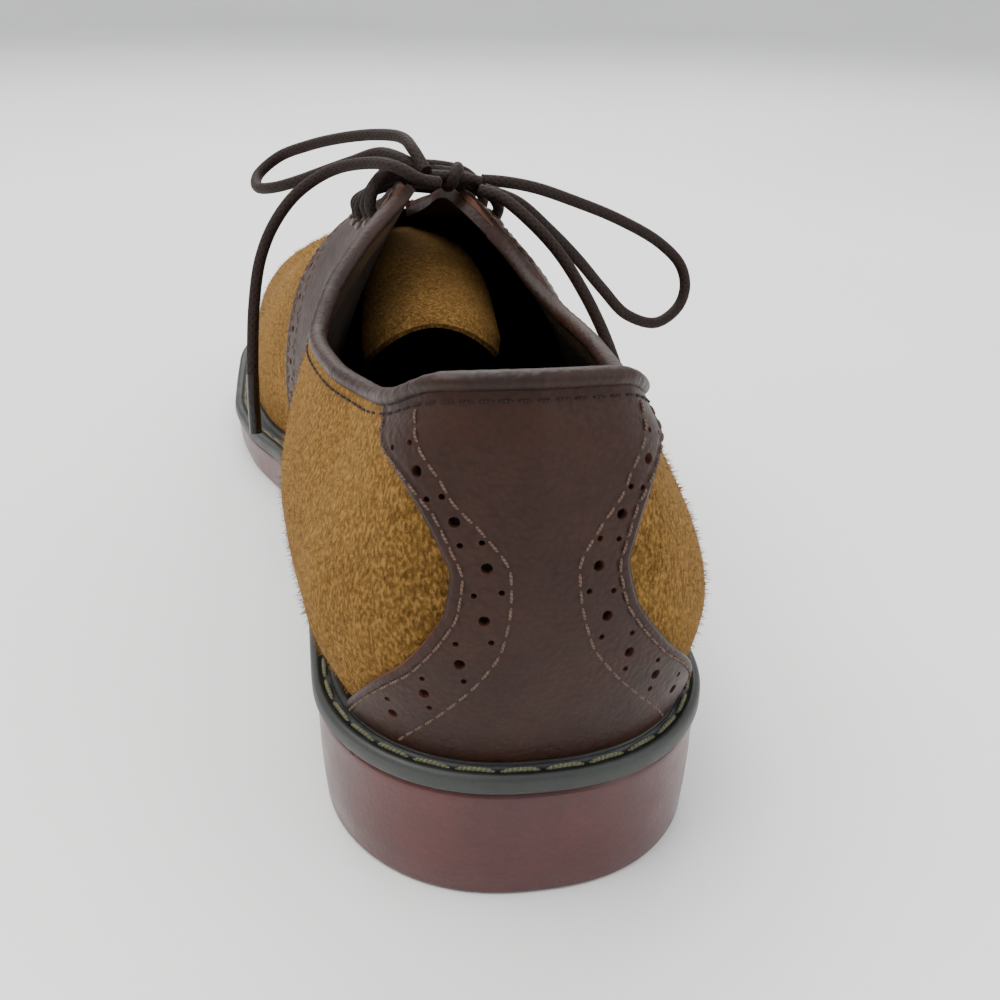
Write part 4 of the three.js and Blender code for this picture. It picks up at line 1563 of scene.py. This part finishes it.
    def punch(self, piece: Object, places: list) -> None:
        """Cuts round holes through an overlay.

        Args:
            piece: The overlay.
            places: Girth, height and radius of each hole.
        """
        lines = []
        for g, t, _ in places:
            at = np.asarray(float(g)), np.asarray(float(t))
            n, p = self.form.normal(*at), self.form.face(*at)
            lines.append(np.stack([p - n * 0.02 * MM, p + n * 4 * MM]))
        points, faces, _ = join_tubes(lines, [radius for _, _, radius in places], 14)
        cutter = make_object("cutter", points, faces, [self.wardrobe.cut])
        select_only(piece)
        bpy.ops.object.modifier_add(type="BOOLEAN")
        cut = piece.modifiers[-1]
        cut.object = cutter
        cut.operation = "DIFFERENCE"
        bpy.ops.object.modifier_apply(modifier=cut.name)
        select_only(cutter)
        bpy.ops.object.delete()
        select_only(piece)
        bpy.ops.object.shade_smooth_by_angle(angle=SMOOTH_ANGLE)

    def counter(self) -> None:
        """Makes the heel counter with its brogued bands and stitches."""
        form, s = self.form, self.form.sizes
        columns = np.linspace(-1, 1, 111)
        columns = np.sign(columns) * (1 - (1 - np.abs(columns)) ** 1.25)
        rows = (1 - np.cos(np.pi * np.linspace(0, 1, 81))) / 2 * 0.35 + np.linspace(0, 1, 81) * 0.65
        g = columns[:, None] * read(COUNTER, "spread", rows)[None]
        piece = self.overlay("leather_heel_counter", g, rows[None] * form.under_binding(g, -TUCK), 1)
        holes = []
        for side in (-1, 1):
            v = np.linspace(0.1, 0.965, 400)
            middle = side * (read(COUNTER, "spread", v) + read(COUNTER_BAND, "spread", v)) / 2
            line = form.face(middle, v * form.under_binding(middle))
            for here, apart, radius in spaced(line, v, self.counter_holes):
                rim = read(COUNTER, "spread", here) - self.rim_margin
                band = read(COUNTER_BAND, "spread", here)
                girth = np.asarray(side * ((rim + band) / 2 + apart * (rim - band)))
                holes.append((girth, here * form.under_binding(girth), radius))
        self.punch(piece, holes)
        ride(piece, "leather", "heel_counter")
        rows_of_thread = []
        v = np.linspace(0.02, 0.985, 300)
        for side in (-1, 1):
            for inward, table in ((2.1 * MM, COUNTER), (0.0, COUNTER_BAND)):
                spread = read(table, "spread", v)
                beside = form.face(side * (spread - 1e-3), v)
                step = np.linalg.norm(beside - form.face(side * spread, v), axis=-1)
                g = side * (spread - 1e-3 * inward / step)
                t = v * form.under_binding(g)
                down = np.linalg.norm(form.face(g, t) - form.face(g, form.under_binding(g, -TUCK)), axis=-1)
                rows_of_thread.append(self.sewn(g, t, s.lift + s.overlay - 0.06 * MM - self.skive(down)))
        thread = Stitching(self.sewing, self.wardrobe.leather_thread)
        ride(thread.piece("heel_counter_stitches", rows_of_thread), "leather")

    def sewn(self, g: Array, t: Array, lift: Array) -> tuple[Array, Array]:
        """Gives a stitch line's points at a distance off the suede, and the normals there."""
        return self.form.lifted(g, t, lift + 0 * t), self.form.normal(g, t)

    def saddle(self, side: Side) -> None:
        """Makes one side of the saddle.

        Args:
            side: Side of the shoe.
        """
        form, s = self.form, self.form.sizes
        columns = (1 - np.cos(np.pi * np.linspace(0, 1, 71))) / 2 * 0.4 + np.linspace(0, 1, 71) * 0.6
        rows = np.linspace(0, 1, 101)

        def net(c: Array, v: Array) -> tuple[Array, Array]:
            """Places points on the saddle.

            Args:
                c: Shares of the way from its back to its front edge.
                v: Shares of its height.

            Returns:
                Girths and heights along the rib.
            """
            back = girth_at(read(SADDLE, "back", v), Side.OUTER)
            front = girth_at(read(SADDLE, "front", v), Side.OUTER)
            g = side.value * (back + (front - back) * c)
            _, u = form.place(g)
            margin = s.facing_margin * (1 + 2 * ease(u, s.throat_end - 0.01, s.throat_end + 0.01))
            return g, v * form.below(g, np.maximum(form.binding_room(u), margin))

        def width_at(v: Array) -> Array:
            """Measures the saddle across at shares of its height."""
            return np.linalg.norm(form.face(*net(1 + 0 * v, v)) - form.face(*net(0 * v, v)), axis=-1)

        g, t = net(columns[:, None] + 0 * rows[None], rows[None] + 0 * columns[:, None])
        bound = 1 - ease(form.place(g)[1], s.binding_end - 0.004, s.free_edge)
        piece = self.overlay(f"leather_saddle_{side.name.lower()}", g, t, bound, True)
        holes = []
        for start, sign in ((0.0, 1), (1.0, -1)):
            v = np.linspace(0.06, 0.9, 300)
            width = width_at(v)
            line = form.face(*net(start + sign * 6 * MM / width, v))
            for here, inset, radius in spaced(line, v, self.saddle_holes):
                wide = np.interp(here, v, width)
                holes.append((*net(np.asarray(start + sign * inset * MM / wide), np.asarray(here)), radius))
        for at in EYELETS:
            gh = np.asarray(girth_at(at, side))
            holes.append((gh, form.below(gh, s.eyelet_inset), 1.7 * MM))
        self.punch(piece, holes)
        ride(piece, "leather", f"saddle_{side.name.lower()}")
        lines = []
        for start, sign in ((0.0, 1), (1.0, -1)):
            v = np.linspace(0.02, 0.97, 300)
            width = width_at(v)
            for inset in (2.2, 3.4, 9.2):
                at = net(start + sign * inset * MM / width, v)
                lines.append(self.sewn(*at, s.lift + s.overlay - 0.12 * MM))
        c = np.linspace(0.06, 0.94, 300)
        g_top, _ = net(c, 1 + 0 * c)
        _, u_top = form.place(g_top)
        t_top = form.below(g_top, np.maximum(form.binding_room(u_top), s.facing_margin) + 2.4 * MM)
        lines.append(self.sewn(g_top, t_top, s.lift + s.overlay - 0.1 * MM))
        thread = Stitching(self.sewing, self.wardrobe.leather_thread)
        ride(thread.piece(f"saddle_stitches_{side.name.lower()}", lines), "leather")

    def binding(self) -> None:
        """Rolls the leather binding over the collar and stitches it."""
        form, s = self.form, self.form.sizes
        end = s.binding_end - 0.002
        last = float(girth_at(end, Side.OUTER))
        g = np.linspace(-last, last, 420)
        edge = form.top_edge(g)
        out = form.side_normal(g, 1 + 0 * g)
        up = unit(edge - form.face(g, 0.97 + 0 * g))
        proud = 0.9 * MM * (1 - ease(np.abs(g), 0.085, 0.105))
        centre = edge - up * s.binding_radius - out * (s.wall / 2 - proud)[:, None]
        run = run_along(centre)
        angle = np.linspace(0, 2 * np.pi, 21)
        pucker = 1 + 0.03 * np.sin(2 * np.pi * run / (3.1 * MM)) * np.sin(run / (21 * MM))
        wide = s.binding_radius * pucker[:, None] * (1 + 0.06 * np.cos(2 * angle)[None])
        rings = centre[:, None] + wide[..., None] * (
            np.cos(angle)[None, :, None] * out[:, None] + np.sin(angle)[None, :, None] * up[:, None])
        shell = Shell()
        shell.net(rings)
        for k in (0, -1):
            middle = np.broadcast_to(rings[k].mean(0), rings[k].shape)
            shell.net(np.stack([rings[k], middle], 1))
        ride(shell.finish("rolled_binding", [self.wardrobe.binding]), "leather", "collar_binding")
        rows = []
        thread = Stitching(self.sewing, self.wardrobe.dark_thread)
        room = 2 * s.binding_radius + s.gap + 1.0 * MM
        on_counter = s.lift + s.overlay - self.skive(np.asarray(2.2 * MM)) - 0.02 * MM
        for low, high, lift in ((-0.089, 0.089, float(on_counter)), (0.094, last - 0.012, 0.05 * MM),
                                (-last + 0.012, -0.094, 0.05 * MM)):
            g = np.linspace(low, high, 400)
            rows.append(self.sewn(g, form.below(g, room + 0 * g), lift))
        ride(thread.piece("collar_stitches", rows), "leather")

    def tongue(self) -> None:
        """Makes the tongue, lying inside the throat."""
        form, s, spread = self.form, self.form.sizes, self.tongue_spread
        v = np.linspace(-1, 1, 61)[:, None]
        share = np.linspace(0, 1, 71)[None] * (1 - 0.12 * np.abs(v) ** 3)
        angle = v * spread

        def at(drop: Array) -> Array:
            """Gives the tongue's face.

            Args:
                drop: How far it is sunk.

            Returns:
                Its points.
            """
            p = form.placed(TONGUE, share, read(TONGUE, "y", share) + 0.5)
            half = s.tongue_width * read(TONGUE, "half", share) - drop
            depth = s.tongue_width * read(TONGUE, "depth", share)
            fall = depth * (1 - np.cos(angle)) / (1 - math.cos(spread))
            p[..., 0] += half * np.sin(angle) / math.sin(spread)
            p[..., 2] -= fall + drop
            return p

        border = ease(1 - np.abs(v), 0, 0.07) * ease(1 - np.linspace(0, 1, 71)[None], 0, 0.05)
        outer = at(0.5 * s.tongue_thickness * (1 - border) * 0.7)
        inner = at(s.tongue_thickness * (1 - 0.3 * (1 - border)))
        shell = Shell()
        shell.net(outer, 0)
        shell.net(inner, 1)
        shell.rim(outer, inner)
        # The tongue's top face takes the darker suede copy, which is painted shade.
        ride(shell.finish("suede_tongue", [self.wardrobe.tongue, self.wardrobe.lining]), "suede", "tongue")

    def build(self) -> None:
        """Builds the upper and all that is sewn to it."""
        self.suede()
        self.counter()
        for side in Side:
            self.saddle(side)
        self.binding()
        self.tongue()
        self.hairs()


def main() -> None:
    """Builds the camera, the shoe and the studio in order."""
    logging.basicConfig(level=logging.INFO, format="%(message)s")
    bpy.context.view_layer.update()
    StudioCamera().build()
    wardrobe = Wardrobe()
    form = ShoeForm(ShoeSizes())
    for assembly in (Laces, Bottom, Upper):
        assembly(form, wardrobe).build()
        log.info("%s done", assembly.__name__)
    Studio().build(wardrobe)


if __name__ == "__main__":
    main()
